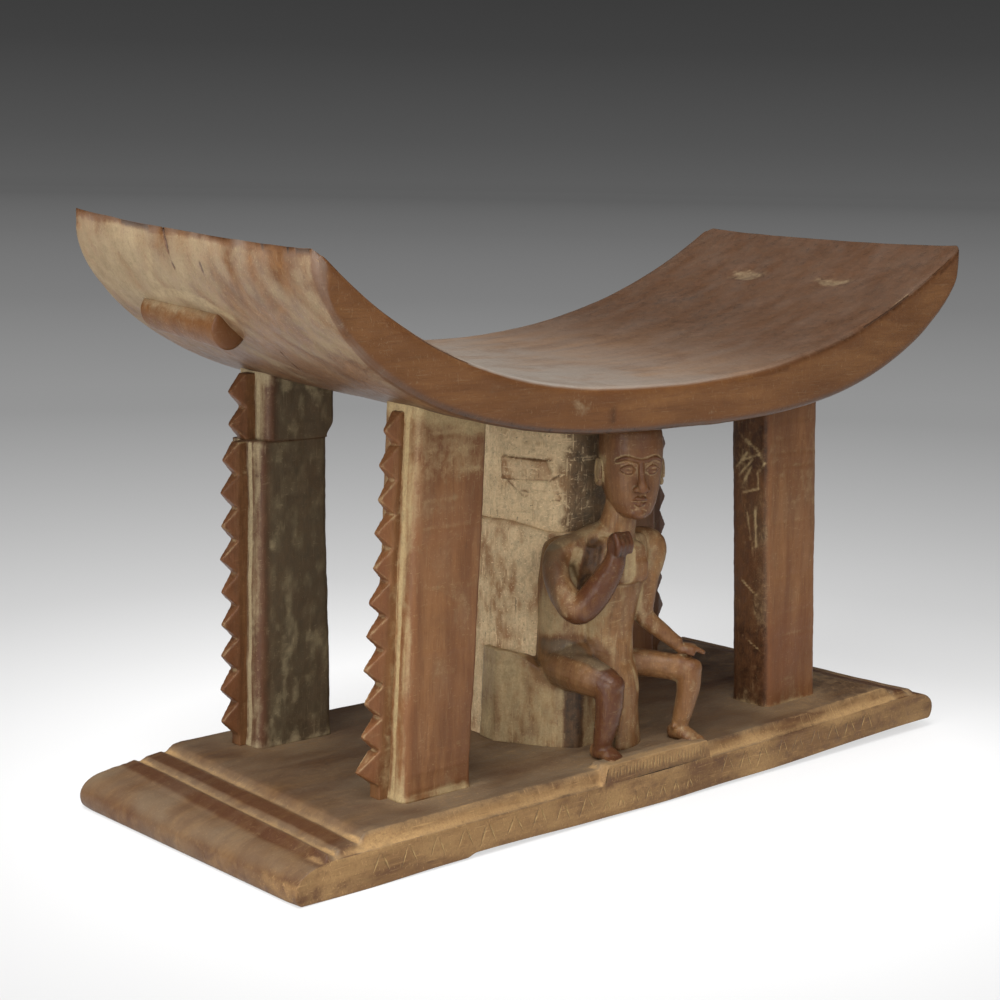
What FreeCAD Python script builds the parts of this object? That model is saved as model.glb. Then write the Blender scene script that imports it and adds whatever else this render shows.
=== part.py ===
import FreeCAD, Part
import math
import os

from FreeCAD import Vector

# Asante stool, carved from one block of wood, split here at the carver's own shoulders.
# Millimetres, +Z up. X runs along the length, the seated figure faces -Y, and the origin
# is on the floor under the middle of the base.

# Seat: a crescent with unequal horns
seat_length = 563
seat_width = 236
tip_height = 358
dish_height = 274.5
seat_underside = 246
back_rise = 10.5
horn_difference = 11.8
dish_offset = 15
tip_blunt = 4.5
left_dish_power = 2.7
right_dish_power = 2.35
belly_power = 2.8
belly_round = 1.65
seat_arcs = 6

# Base: a slab with rounded ends, and a raised field with moulded edges. It reaches a little
# beyond the horns and is a little narrower than the seat.
base_overhang = 6.5
base_inset = 5.5
base_length = seat_length + 2 * base_overhang
base_width = seat_width - 2 * base_inset
slab_height = 22
nose_length = 19.5
nose_height = 9
nose_undercut = 4
field_level = 31.5
cove_width = 4.5
end_band_length = 19
end_band_drop = 3.5
end_cove = 3.5
footrest_length = 94
footrest_depth = 13
footrest_height = 34.5
footrest_offset = 4

# Carrying lugs under the horns
lug_length = 85
lug_radius = 9.5
lug_inset = 27
lug_offset = 37
lug_stand = 5.5

# Corner posts, measured in from the seat's ends and edges
post_end_inset = 92.5
post_front_inset = 35
post_back_inset = 25
post_width = 53
post_depth = 33
post_corner = 5
front_left_lean = 9
front_right_lean = 12
back_left_lean = 1
back_right_lean = 6
back_right_inset = 13
cap_shift = 6
cap_level = 227

# Combs on the outer sides of the posts
comb_setback = 14
comb_thickness = 9
comb_teeth = 11
cap_teeth = 2
comb_tip_round = 1.6
front_left_first = 40.5
front_left_pitch = 19.8
front_left_root = 8
front_left_tooth = 12
front_left_comb_lean = 14
back_left_first = 39
back_left_pitch = 20.8
back_left_root = 6
back_left_tooth = 10.5
front_right_first = 39
front_right_pitch = 19.75
front_right_root = 3.5
front_right_tooth = 7
back_right_first = 40.3
back_right_pitch = 20.8
back_right_root = 17.5
back_right_tooth = 9

# Column behind the figure
drum_radius = 54
drum_height = 171.5
drum_round = 3
column_radius = 49.5
relief_width = 33
relief_height = 35
relief_offset = 25.5
relief_stand = 1.8
relief_turn = 216
band_width = 8
band_slope = 28

# Throne under the figure, measured in from the base's front edge
throne_top = 76
throne_inset = 47.5
throne_front = base_width / 2 - throne_inset
throne_left = 54
throne_back_left = 50
throne_right = 30

# Seated figure, its toes just inside the base's front edge
figure_offset = 6
toe_inset = 5.5
figure_reach = base_width / 2 - toe_inset
torso_top = 169
torso_width = 66
torso_depth = 34
torso_sink = 3
chest_top = 163
chest_bottom = 138
chest_width = 32
chest_reach = 22
chest_offset = 4
neck_radius = 11
neck_sink = 6
head_bottom = 182
head_width = 41
head_depth = 46
head_shift = 6
head_forward = 8
head_turn = 28
ear_height = 14
ear_width = 3.5
ear_depth = 8
nose_size = 8
right_arm_width = 17
right_forearm_width = 20
right_wrist_width = 12.5
left_arm_width = 18
left_forearm_width = 12
left_wrist_width = 8
fist_width = 13.5
palm_width = 14
palm_thickness = 8
right_thigh_width = 26
left_thigh_width = 17.5
knee_width = 21
ankle_width = 12
foot_length = 19
foot_width = 14
foot_height = 11
lap_width = 42
lap_depth = 26
lap_sink = 10

overrun = 20
form_sides = 14

# A tip's roundness and the nose of a horn
comb_tip_share = 0.43
comb_round_share = 0.4
horn_nose_shares = (0.25, 0.6)

# Joints of the figure: across in torso widths from its middle, forward in the figure's
# reach, and up from the footrest to the throne (legs) or from the throne to the neck (arms).
# Right is the figure's own right, on the -X side.
arm_joint_shares = {
    "right": ((-0.606, 0.579, 0.871), (-0.662, 0.785, 0.56), (-0.407, 0.888, 0.873), (-0.364, 0.897, 1.075)),
    "left": ((0.508, 0.673, 0.867), (0.37, 0.71, 0.42), (0.588, 0.841, 0.206), (0.8, 0.916, 0.15)),
}
leg_joint_shares = {
    "right": ((-0.515, 0.393, 1.157), (-0.394, 0.888, 1.024), (-0.45, 0.86, 0.13), (-0.5, 1, 0)),
    "left": ((0.303, 0.579, 1.11), (0.69, 0.888, 1.06), (0.64, 0.85, 0.13), (0.68, 1, 0)),
}

# Places along a form, from its start to its end, each with its share of the form's width
torso_shares = ((0, 0.62), (0.3, 0.58), (0.55, 0.76), (0.8, 1), (0.95, 0.95), (1, 0.72))
head_shares = ((0, 0.36), (0.07, 0.56), (0.26, 0.84), (0.52, 1), (0.8, 0.95), (1, 0.74))
neck_shares = ((0, 1.2), (0.3, 1), (1, 1))
arm_shares = ((-0.22, 0.5), (-0.1, 0.86), (0.1, 1), (0.5, 0.98), (1, 0.86), (1.15, 0.5))
hand_shares = ((-0.1, 0.74), (0.3, 0.96), (0.7, 1), (0.92, 0.82), (1, 0.56))
forearm_start_shares = ((-0.2, 0.5), (-0.1, 0.86), (0.1, 1))
thigh_shares = ((0, 1), (0.6, 1), (1, 0.88), (1.1, 0.66), (1.16, 0.4))
shin_start_shares = ((-0.2, 0.5), (-0.12, 0.84), (0, 1), (0.25, 0.97))
foot_shares = ((-0.36, 0.6), (-0.16, 0.9), (0.3, 1), (0.72, 0.78), (0.92, 0.5))
ear_shares = ((0, 0.8), (0.6, 1), (1, 0.6))
lap_shares = ((0, 1.22), (0.3, 1), (1, 0.95))
ear_level_share = 0.4
ear_sink_share = 0.9


def moved(shape, x=0, y=0, z=0):
    copy = shape.copy()
    copy.translate(Vector(x, y, z))
    return copy


def lowest(shape):
    return min(shape.Solids, key=lambda solid: solid.CenterOfMass.z)


def largest(shape):
    return max(shape.Solids, key=lambda solid: solid.Volume)


def wire(edges):
    return Part.Wire(Part.__sortEdges__(edges))


def polygon(points):
    return Part.Wire(Part.makePolygon(list(points) + [points[0]]).Edges)


def prism(points, way):
    return Part.Face(polygon(points)).extrude(way)


def arc(first, middle, last):
    return Part.Arc(first, middle, last).toShape()


def arcs(points):
    return [arc(*points[index:index + 3]) for index in range(0, len(points) - 1, 2)]


# A quarter of an ellipse in an XZ plane, from its side point to its top or bottom point.
def quarter(centre, reach_x, reach_z):
    side = centre + Vector(reach_x, 0, 0)
    end = centre + Vector(0, 0, reach_z)
    if abs(reach_x) >= abs(reach_z):
        ellipse = Part.Ellipse(side, end, centre)
    else:
        ellipse = Part.Ellipse(end, side, centre)
    return Part.Arc(ellipse, 0, math.pi / 2).toShape()


# A knife-cut body with flat facets from start to end, its sections scaled by the shares.
def form(start, end, width, depth, shares, front=Vector(0, -1, 0)):
    axis = end - start
    direction = Vector(axis).normalize()
    across = front.cross(direction).normalize()
    along = direction.cross(across).normalize()
    rings = []
    for place, share in shares:
        ring = []
        for side in range(form_sides):
            turn = 2 * math.pi * (side + 1 / 2) / form_sides
            offset = across * (width * math.cos(turn) / 2) + along * (depth * math.sin(turn) / 2)
            ring.append(start + axis * place + offset * share)
        rings.append(ring)
    faces = [Part.Face(polygon(rings[0])), Part.Face(polygon(rings[-1]))]
    for low, high in zip(rings, rings[1:]):
        for side in range(form_sides):
            after = (side + 1) % form_sides
            faces.append(Part.Face(polygon([low[side], low[after], high[after], high[side]])))
    solid = Part.Solid(Part.Shell(faces))
    return solid if solid.Volume > 0 else solid.reversed()


# Base

def base_slab():
    half = base_length / 2
    y = -base_width / 2
    edges = []
    for side in (-1, 1):
        upper = Vector(side * (half - nose_length), y, nose_height)
        lower = Vector(side * (half - nose_undercut), y, nose_height)
        edges.append(quarter(upper, side * nose_length, slab_height - nose_height))
        edges.append(quarter(lower, side * nose_undercut, -nose_height))
    for reach, z in ((half - nose_length, slab_height), (half - nose_undercut, 0)):
        edges.append(Part.makeLine(Vector(-reach, y, z), Vector(reach, y, z)))
    return Part.Face(wire(edges)).extrude(Vector(0, base_width, 0))


# Across the base: a cove up each long side to a crest, and a flat field between.
def field_section(x):
    half = base_width / 2
    corner = half - cove_width
    hollow_share = 1 - math.sqrt(1 / 2)
    edges = [Part.makeLine(Vector(x, -half, slab_height), Vector(x, half, slab_height))]
    edges.append(Part.makeLine(Vector(x, -corner, field_level), Vector(x, corner, field_level)))
    for side in (-1, 1):
        foot = Vector(x, side * half, slab_height)
        crest = Vector(x, side * corner, field_level)
        middle_y = corner + cove_width * hollow_share
        middle_z = slab_height + (field_level - slab_height) * hollow_share
        edges.append(arc(foot, Vector(x, side * middle_y, middle_z), crest))
    return wire(edges)


# The raised field, with a lower band and a cove at each short end.
def base_plateau():
    foot = base_length / 2 - nose_length
    band = foot - end_cove
    crest = band - end_band_length
    band_level = field_level - end_band_drop
    top = field_level + overrun
    field = Part.Face(field_section(-foot)).extrude(Vector(2 * foot, 0, 0))
    for side in (-1, 1):
        outline = [
            Vector(side * crest, -base_width, top),
            Vector(side * crest, -base_width, field_level),
            Vector(side * (crest + end_cove), -base_width, band_level),
            Vector(side * band, -base_width, slab_height + end_cove),
            Vector(side * foot, -base_width, slab_height),
            Vector(side * (foot + overrun), -base_width, slab_height),
            Vector(side * (foot + overrun), -base_width, top),
        ]
        field = field.cut(prism(outline, Vector(0, 2 * base_width, 0)))
    return largest(field.cut(footrest_block(overrun)))


def footrest_block(extra=0):
    block = Part.makeBox(footrest_length, footrest_depth, footrest_height - slab_height + extra)
    return moved(block, -footrest_offset - footrest_length / 2, -base_width / 2, slab_height)


# Seat

def seat_lift(y):
    return back_rise * y / seat_width


def tip_level(side):
    return tip_height - side * horn_difference / 2


def seat_top(x):
    side = -1 if x < -dish_offset else 1
    reach = seat_length / 2 + side * dish_offset
    power = left_dish_power if side < 0 else right_dish_power
    return dish_height + (tip_level(side) - dish_height) * (abs(x + dish_offset) / reach) ** power


def seat_belly(x):
    side = -1 if x < 0 else 1
    share = min(1, abs(x) / (seat_length / 2))
    high = tip_level(side) - 2 * tip_blunt
    return seat_underside + (high - seat_underside) * (1 - (1 - share ** belly_power) ** (1 / belly_round))


# The crescent's profile is carried straight back, rising a little on the way.
def seat():
    y = -seat_width / 2
    half = seat_length / 2
    steps = 2 * seat_arcs
    top = []
    belly = []
    for step in range(steps + 1):
        sine = math.sin(math.pi * (step / steps - 1 / 2))
        x = (half - tip_blunt) * sine
        top.append(Vector(x, y, seat_top(x) + seat_lift(y)))
        belly.append(Vector(half * sine, y, seat_belly(half * sine) + seat_lift(y)))
    edges = arcs(top) + arcs(belly)
    for side, index in ((-1, 0), (1, -1)):
        in_share, down_share = horn_nose_shares
        x = side * (half - tip_blunt * in_share)
        nose = Vector(x, y, tip_level(side) - tip_blunt * down_share + seat_lift(y))
        edges.append(arc(belly[index], nose, top[index]))
    return Part.Face(wire(edges)).extrude(Vector(0, seat_width, back_rise))


def lug(side, seat_shape):
    x = side * (seat_length / 2 - lug_inset)
    y = lug_offset - lug_length / 2
    z = seat_belly(x) + seat_lift(y) - lug_stand
    bar = Part.makeCylinder(lug_radius, lug_length, Vector(x, y, z), Vector(0, seat_width, back_rise))
    return lowest(bar.cut(seat_shape))


# Posts and combs

# One post and its comb: side is -1 on the left, y is its front face.
class Post:
    def __init__(self, side, y, outer, lean, comb_lean, root, tooth, first, pitch):
        self.side = side
        self.y = y
        self.outer = outer
        self.lean = lean
        self.comb_lean = comb_lean
        self.root = root
        self.tooth = tooth
        self.first = first
        self.pitch = pitch

    def across(self, z, reach, lean):
        rise = (z - field_level) / (seat_underside - field_level)
        return self.side * (self.outer - lean * rise + reach)


def posts():
    span = seat_length / 2 - post_end_inset
    front = post_front_inset - seat_width / 2
    back = seat_width / 2 - post_back_inset - post_depth
    return {
        "front_left": Post(-1, front, span, front_left_lean, front_left_comb_lean, front_left_root,
                           front_left_tooth, front_left_first, front_left_pitch),
        "front_right": Post(1, front, span, front_right_lean, front_right_lean, front_right_root,
                            front_right_tooth, front_right_first, front_right_pitch),
        "back_left": Post(-1, back, span, back_left_lean, back_left_lean, back_left_root,
                          back_left_tooth, back_left_first, back_left_pitch),
        "back_right": Post(1, back, span - back_right_inset, back_right_lean, back_right_lean,
                           back_right_root, back_right_tooth, back_right_first, back_right_pitch),
    }


# The whole of the part's plan between two levels
def layer(low, high):
    return moved(Part.makeBox(seat_length, seat_width, high - low), -seat_length / 2, -seat_width / 2, low)


def post_body(post, low, high, shift=0):
    shaft = Part.makeBox(post_width, post_depth, tip_height)
    corners = [edge for edge in shaft.Edges if edge.BoundBox.ZLength > post_depth + post_width]
    shaft = shaft.makeFillet(post_corner, corners)
    if post.side > 0:
        shaft = moved(shaft, x=-post_width)
    shaft = moved(shaft, z=-overrun)
    tilt = math.degrees(math.atan(post.lean / (seat_underside - field_level)))
    shaft.rotate(Vector(0, 0, 0), Vector(0, 1, 0), -post.side * tilt)
    shaft = moved(shaft, post.side * (post.outer - shift), post.y, field_level)
    return shaft.common(layer(low, high))


# A saw-toothed fin that stands on the middle of a post's outer side. Each tooth's tip lies
# under the middle of its pitch and is worn round.
def comb_blade(post, low, high, first, teeth, shift=0):
    y = post.y + comb_setback

    def at(z, reach):
        return Vector(post.across(z, reach - shift, post.comb_lean), y, z)

    def inner(z):
        return Vector(post.across(z, -post_corner - shift, post.lean), y, z)

    edges = [Part.makeLine(inner(high), inner(low)), Part.makeLine(inner(low), at(low, post.root))]
    foot = at(low, post.root)
    if first > low:
        edges.append(Part.makeLine(foot, at(first, post.root)))
        foot = at(first, post.root)
    for index in range(teeth):
        tip = at(foot.z + comb_tip_share * post.pitch, post.root + post.tooth)
        head = at(foot.z + post.pitch, post.root)
        under = tip + (foot - tip).normalize() * comb_tip_round
        over = tip + (head - tip).normalize() * comb_tip_round
        middle = (under + over) * ((1 - comb_round_share) / 2) + tip * comb_round_share
        edges += [Part.makeLine(foot, under), arc(under, middle, over), Part.makeLine(over, head)]
        foot = head
    edges.append(Part.makeLine(foot, inner(high)))
    return Part.Face(Part.Wire(edges)).extrude(Vector(0, comb_thickness, 0))


# Column and throne

def column_lower():
    inner = drum_radius - drum_round
    outline = [
        Vector(0, 0, field_level),
        Vector(drum_radius, 0, field_level),
        Vector(drum_radius, 0, drum_height - drum_round),
        Vector(inner, 0, drum_height),
        Vector(0, 0, drum_height),
    ]
    return largest(Part.Face(polygon(outline)).revolve(Vector(0, 0, 0), Vector(0, 0, 1), 360))


def column_upper(seat_shape):
    shaft = Part.makeCylinder(column_radius, tip_height - drum_height, Vector(0, 0, drum_height))
    return lowest(shaft.cut(seat_shape))


# A knot raised on the front left of the column: two crossing bands between level ones.
def column_relief():
    ring = Part.makeCylinder(column_radius + relief_stand, relief_height)
    ring = moved(ring.cut(Part.makeCylinder(column_radius, relief_height)), z=-relief_height / 2)
    level = (relief_height - band_width) / 2
    bands = []
    for height, slope in ((-level, 0), (level, 0), (0, -band_slope), (0, band_slope)):
        band = moved(Part.makeBox(2 * drum_radius, relief_width, band_width), 0, -relief_width / 2, -band_width / 2)
        band.rotate(Vector(0, 0, 0), Vector(1, 0, 0), slope)
        bands.append(moved(band, z=height))
    knot = ring.common(bands[0].multiFuse(bands[1:]))
    knot.rotate(Vector(0, 0, 0), Vector(0, 0, 1), relief_turn)
    return largest(moved(knot, z=drum_height + relief_offset))


def figure_throne(drum):
    outline = [
        Vector(-throne_back_left, 0, field_level),
        Vector(-throne_left, -throne_front, field_level),
        Vector(throne_right, -throne_front, field_level),
        Vector(throne_right, 0, field_level),
    ]
    return largest(prism(outline, Vector(0, 0, throne_top - field_level)).cut(drum))


# Figure

def torso_line():
    return -(drum_radius + torso_depth / 2 - torso_sink)


def torso_body():
    low = Vector(-figure_offset, torso_line(), throne_top)
    high = Vector(-figure_offset, torso_line(), torso_top)
    return form(low, high, torso_width, torso_depth, torso_shares)


# The squared breast, which stands out over the waist.
def chest_plate():
    back = torso_line()
    front = back - chest_reach
    x = -figure_offset - chest_offset - chest_width / 2
    outline = [
        Vector(x, back, chest_top),
        Vector(x, front + chest_reach / 4, chest_top - chest_reach / 4),
        Vector(x, front, chest_bottom + chest_reach / 8),
        Vector(x, front + chest_reach / 8, chest_bottom),
        Vector(x, back, chest_bottom + chest_reach / 4),
    ]
    return prism(outline, Vector(chest_width, 0, 0))


def neck_body():
    y = torso_line() - head_forward
    low = Vector(-figure_offset, y, torso_top - neck_sink)
    high = Vector(-figure_offset, y, head_bottom + neck_radius)
    return form(low, high, 2 * neck_radius, 2 * neck_radius, neck_shares)


# An egg-shaped head up to the seat, with ears and a wedge for the nose.
def head_body():
    skull = form(Vector(0, 0, head_bottom), Vector(0, 0, seat_underside), head_width, head_depth, head_shares)
    level = head_bottom + (seat_underside - head_bottom) * ear_level_share
    parts = []
    for side in (-1, 1):
        root = Vector(side * head_width * ear_sink_share / 2, 0, level)
        parts.append(form(root, root + Vector(side * ear_width, 0, 0), ear_depth, ear_height, ear_shares))
    face = -head_depth / 2
    low = level - nose_size
    tip = Vector(0, face - nose_size / 4, low)
    bridge = Vector(0, face, level + nose_size)
    corners = [Vector(side * nose_size / 2, face / 2, low) for side in (-1, 1)]
    faces = [Part.Face(polygon([tip] + corners)), Part.Face(polygon([bridge] + corners))]
    faces += [Part.Face(polygon([tip, bridge, corner])) for corner in corners]
    nose = Part.Solid(Part.Shell(faces))
    head = skull.multiFuse(parts + [nose])
    head.rotate(Vector(0, 0, 0), Vector(0, 0, 1), -head_turn)
    return moved(head, head_shift - figure_offset, torso_line() - head_forward)


# A joint's place, up from low by a share of the way to high.
def joint(shares, low, high):
    x_share, y_share, z_share = shares
    return Vector(x_share * torso_width - figure_offset, -y_share * figure_reach, low + z_share * (high - low))


def arm_body(shoulder, elbow, wrist, widths):
    upper_width, lower_width, wrist_width = widths
    upper = form(shoulder, elbow, upper_width, upper_width, arm_shares)
    shares = forearm_start_shares + ((1, wrist_width / lower_width),)
    return upper.fuse(form(elbow, wrist, lower_width, lower_width, shares))


def shin_body(knee, ankle):
    shares = shin_start_shares + ((1, ankle_width / knee_width), (1.1, ankle_width / knee_width))
    return form(knee, ankle, knee_width, knee_width, shares)


def foot_body(ankle, toe):
    heel = Vector(ankle.x, ankle.y, toe.z)
    direction = Vector(toe - heel).normalize()
    return form(heel, heel + direction * foot_length, foot_width, 2 * foot_height, foot_shares, Vector(0, 0, 1))


def lap_body():
    y = -throne_front + lap_sink - lap_depth / 2
    low = Vector(-figure_offset, y, field_level)
    return form(low, Vector(-figure_offset, y, throne_top + lap_sink), lap_width, lap_depth, lap_shares)


# Build

# A piece cut back to the faces of what carries it.
def seated(shape, *carriers):
    for carrier in carriers:
        shape = shape.cut(carrier)
    return largest(shape)


def build():
    nodes = {}
    crescent = seat()
    plateau = base_plateau()
    footrest = footrest_block()
    nodes["seat"] = crescent
    nodes["base_slab"] = base_slab()
    nodes["base_plateau"] = plateau
    nodes["footrest_block"] = footrest
    nodes["seat_lug_left"] = lug(-1, crescent)
    nodes["seat_lug_right"] = lug(1, crescent)

    # The back left post was mended: its head is a block of its own, set over to the right.
    for place, post in posts().items():
        broken = place == "back_left"
        top = cap_level if broken else tip_height
        teeth = comb_teeth - cap_teeth if broken else comb_teeth
        body = lowest(post_body(post, field_level, top).cut(crescent))
        blade = comb_blade(post, field_level, top, post.first, teeth)
        if broken:
            blade = blade.common(layer(field_level, cap_level))
        nodes["post_" + place] = body
        nodes["comb_" + place] = seated(blade, crescent, body)
        if broken:
            head = lowest(post_body(post, cap_level, tip_height, cap_shift).cut(crescent))
            blade = comb_blade(post, cap_level, tip_height, cap_level, cap_teeth, cap_shift)
            nodes["post_" + place + "_cap"] = head
            nodes["comb_" + place + "_cap"] = lowest(seated(blade.cut(crescent), head))

    drum = column_lower()
    shaft = column_upper(crescent)
    relief = column_relief()
    throne = figure_throne(drum)
    nodes["column_lower"] = drum
    nodes["column_upper"] = shaft
    nodes["column_relief"] = relief
    nodes["figure_throne"] = throne

    back = (drum, shaft, throne)
    torso = seated(torso_body(), *back)
    chest = seated(chest_plate(), torso, drum)
    neck = seated(neck_body(), torso, chest, drum, shaft)
    head = seated(head_body(), neck, shaft, crescent, relief)
    nodes["figure_torso"] = torso
    nodes["figure_chest"] = chest
    nodes["figure_neck"] = neck
    nodes["figure_head"] = head

    limbs = []
    arm_widths = {
        "right": (right_arm_width, right_forearm_width, right_wrist_width),
        "left": (left_arm_width, left_forearm_width, left_wrist_width),
    }
    thigh_widths = {"right": right_thigh_width, "left": left_thigh_width}
    hand_sizes = {"right": (fist_width, fist_width), "left": (palm_width, palm_thickness)}
    for side in ("right", "left"):
        arm_places = [joint(shares, throne_top, torso_top) for shares in arm_joint_shares[side]]
        leg_places = [joint(shares, footrest_height, throne_top) for shares in leg_joint_shares[side]]
        shoulder, elbow, wrist, knuckles = arm_places
        hip, knee, ankle, toe = leg_places
        arm = seated(arm_body(shoulder, elbow, wrist, arm_widths[side]), torso, chest, neck, head, *back)
        thigh = form(hip, knee, thigh_widths[side], thigh_widths[side], thigh_shares, Vector(0, 0, 1))
        thigh = seated(thigh, torso, arm, *back)
        hand = form(wrist, knuckles, *hand_sizes[side], hand_shares)
        hand = seated(hand, torso, chest, neck, head, arm, thigh)
        shin = seated(shin_body(knee, ankle), thigh, hand, throne, plateau, footrest)
        foot = seated(foot_body(ankle, toe), shin, plateau, footrest)
        for name, shape in (("arm", arm), ("hand", hand), ("thigh", thigh), ("shin", shin), ("foot", foot)):
            nodes["figure_" + side + "_" + name] = shape
        limbs += [thigh, shin, foot]
    nodes["figure_lap"] = seated(lap_body(), torso, throne, drum, plateau, footrest, *limbs)
    return nodes


os.makedirs("parts", exist_ok=True)
for name, shape in build().items():
    if not shape.isValid():
        print("not valid:", name)
    shape.exportStep("parts/" + name + ".step")
    box = shape.BoundBox
    print(name, len(shape.Solids), round(shape.Volume / 1000, 1),
          [round(value, 1) for value in (box.XMin, box.XMax, box.YMin, box.YMax, box.ZMin, box.ZMax)])
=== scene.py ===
import math

import bmesh
import bpy
import numpy as np
from mathutils import Matrix, Vector


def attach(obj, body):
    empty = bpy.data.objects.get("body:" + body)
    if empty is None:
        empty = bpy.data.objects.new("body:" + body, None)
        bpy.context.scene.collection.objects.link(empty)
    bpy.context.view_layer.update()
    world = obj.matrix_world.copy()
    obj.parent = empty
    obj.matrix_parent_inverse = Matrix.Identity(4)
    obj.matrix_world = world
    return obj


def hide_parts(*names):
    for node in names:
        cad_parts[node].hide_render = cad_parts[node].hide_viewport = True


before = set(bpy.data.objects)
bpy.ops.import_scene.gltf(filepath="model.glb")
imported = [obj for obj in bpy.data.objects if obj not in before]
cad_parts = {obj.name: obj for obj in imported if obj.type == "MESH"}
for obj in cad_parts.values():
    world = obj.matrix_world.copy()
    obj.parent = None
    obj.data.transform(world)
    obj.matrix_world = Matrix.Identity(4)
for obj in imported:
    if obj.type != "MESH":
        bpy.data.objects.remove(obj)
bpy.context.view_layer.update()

# A carved stool in metres, in the same frame as its solids. Shapes are worked out in millimetres.
mm = 0.001
# The photograph's camera, placed from the seat's and the base's corners
cameraSizes = {"place": (-0.8885, -0.9253, 0.3884), "yaw": 42.47, "pitch": -9.21, "roll": 0.99, "lens": 70.549}
for name in ("Cube", "Light", "Camera"):
    if name in bpy.data.objects:
        bpy.data.objects.remove(bpy.data.objects[name])


# Fields and small helpers

# A fixed number from -1 to 1 for each cell.
def hashed(cells, seed):
    mixed = cells[:, 0] * 374761393 + cells[:, 1] * 668265263 + cells[:, 2] * 1440662683 + seed * 974711
    mixed = mixed & 0xffffffff
    mixed = ((mixed ^ (mixed >> 13)) * 1274126177) & 0xffffffff
    return ((mixed ^ (mixed >> 16)) & 0xffff) / 32767.5 - 1


# A smooth random field from -1 to 1. Size is a cell's length in mm, one number or three.
def field(points, size, seed=0):
    place = points / np.array(size, float)
    cell = np.floor(place).astype(np.int64)
    share = place - cell
    share = share * share * (3 - 2 * share)
    total = np.zeros(len(points))
    for corner in range(8):
        step = np.array([corner & 1, corner >> 1 & 1, corner >> 2 & 1])
        weight = np.prod(np.where(step, share, 1 - share), axis=1)
        total += weight * hashed(cell + step, seed)
    return total


# Several octaves of the field, each half as large and half as strong.
def roughField(points, size, seed=0, octaves=3):
    size = np.array(size, float)
    layers = [field(points, size / 2 ** level, seed + level) / 2 ** level for level in range(octaves)]
    return sum(layers) / (2 - 2 ** (1 - octaves))


def ease(value, low, high):
    share = np.clip((value - low) / (high - low), 0, 1)
    return share * share * (3 - 2 * share)


# One inside low to high, falling to nothing over a soft margin.
def within(value, low, high, soft):
    return ease(value, low - soft, low) * (1 - ease(value, high, high + soft))


# How near a point is to a stroke between two places, from 1 on it to 0 at its width.
def stroke(points, start, end, width):
    start, end = np.array(start, float), np.array(end, float)
    line = end - start
    share = np.clip((points - start) @ line / (line @ line), 0, 1)
    away = np.linalg.norm(points - start - share[:, None] * line, axis=1)
    return 1 - ease(away, 0, width)


# The same on a surface laid flat, from the start's and the end's two places.
def flatStroke(flat, x, z, toX, toZ, width):
    return stroke(flat, (x, z, 0), (toX, toZ, 0), width)


# The surface of a box as a grid, from the places of its lines along each axis.
def lattice(xs, ys, zs):
    shell = np.zeros((len(xs), len(ys), len(zs)), bool)
    shell[[0, -1]] = shell[:, [0, -1]] = shell[:, :, [0, -1]] = True
    index = np.full(shell.shape, -1)
    index[shell] = np.arange(shell.sum())
    i, j, k = np.nonzero(shell)
    points = np.stack([xs[i], ys[j], zs[k]], 1)
    faces = []
    sides = ((index[:, :, 0], True), (index[:, :, -1], False), (index[:, 0], False),
             (index[:, -1], True), (index[0], True), (index[-1], False))
    for grid, turned in sides:
        quads = np.stack([grid[:-1, :-1], grid[1:, :-1], grid[1:, 1:], grid[:-1, 1:]], -1).reshape(-1, 4)
        faces.append(quads[:, ::-1] if turned else quads)
    return points, np.concatenate(faces).tolist()


# A closed skin over rings of equal count, with a fan at each end.
def skin(rings):
    count, around = rings.shape[:2]
    points = np.vstack([rings.reshape(-1, 3), rings[0].mean(0), rings[-1].mean(0)])
    here = np.arange(around)
    after = (here + 1) % around
    faces = []
    for row in range(count - 1):
        low, high = row * around, (row + 1) * around
        faces += np.stack([low + here, low + after, high + after, high + here], 1).tolist()
    first, last = count * around, count * around + 1
    top = (count - 1) * around
    faces += np.stack([np.full(around, first), after, here], 1).tolist()
    faces += np.stack([np.full(around, last), top + here, top + after], 1).tolist()
    return points, faces


# Divides the faces near some lines more finely.
def refine(piece, lines, reach, cuts):
    points = placesOf(piece)
    near = np.maximum.reduce([stroke(points, line[0], line[1], reach) for line in lines]) > 0
    mesh = bmesh.new()
    mesh.from_mesh(piece.data)
    chosen = [edge for edge in mesh.edges if near[edge.verts[0].index] and near[edge.verts[1].index]]
    bmesh.ops.subdivide_edges(mesh, edges=chosen, cuts=cuts, use_grid_fill=True)
    mesh.to_mesh(piece.data)
    mesh.free()


def newPiece(name, points, faces):
    mesh = bpy.data.meshes.new(name)
    mesh.from_pydata((np.array(points) * mm).tolist(), [], faces)
    mesh.update()
    piece = bpy.data.objects.new(name, mesh)
    bpy.context.scene.collection.objects.link(piece)
    return piece


# Applies modifiers, given as (kind, settings), and leaves a plain mesh.
def settle(piece, *modifiers):
    for kind, settings in modifiers:
        modifier = piece.modifiers.new(kind, kind)
        for key, value in settings.items():
            setattr(modifier, key, value)
    graph = bpy.context.evaluated_depsgraph_get()
    mesh = bpy.data.meshes.new_from_object(piece.evaluated_get(graph))
    piece.modifiers.clear()
    old = piece.data
    piece.data = mesh
    bpy.data.meshes.remove(old)
    mesh.name = piece.name
    return piece


def placesOf(piece):
    flat = np.zeros(len(piece.data.vertices) * 3)
    piece.data.vertices.foreach_get("co", flat)
    return flat.reshape(-1, 3) / mm


def normalsOf(piece):
    flat = np.zeros(len(piece.data.vertices) * 3)
    piece.data.vertex_normals.foreach_get("vector", flat)
    return flat.reshape(-1, 3)


def putPlaces(piece, points):
    piece.data.vertices.foreach_set("co", (points * mm).ravel())
    piece.data.update()


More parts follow.
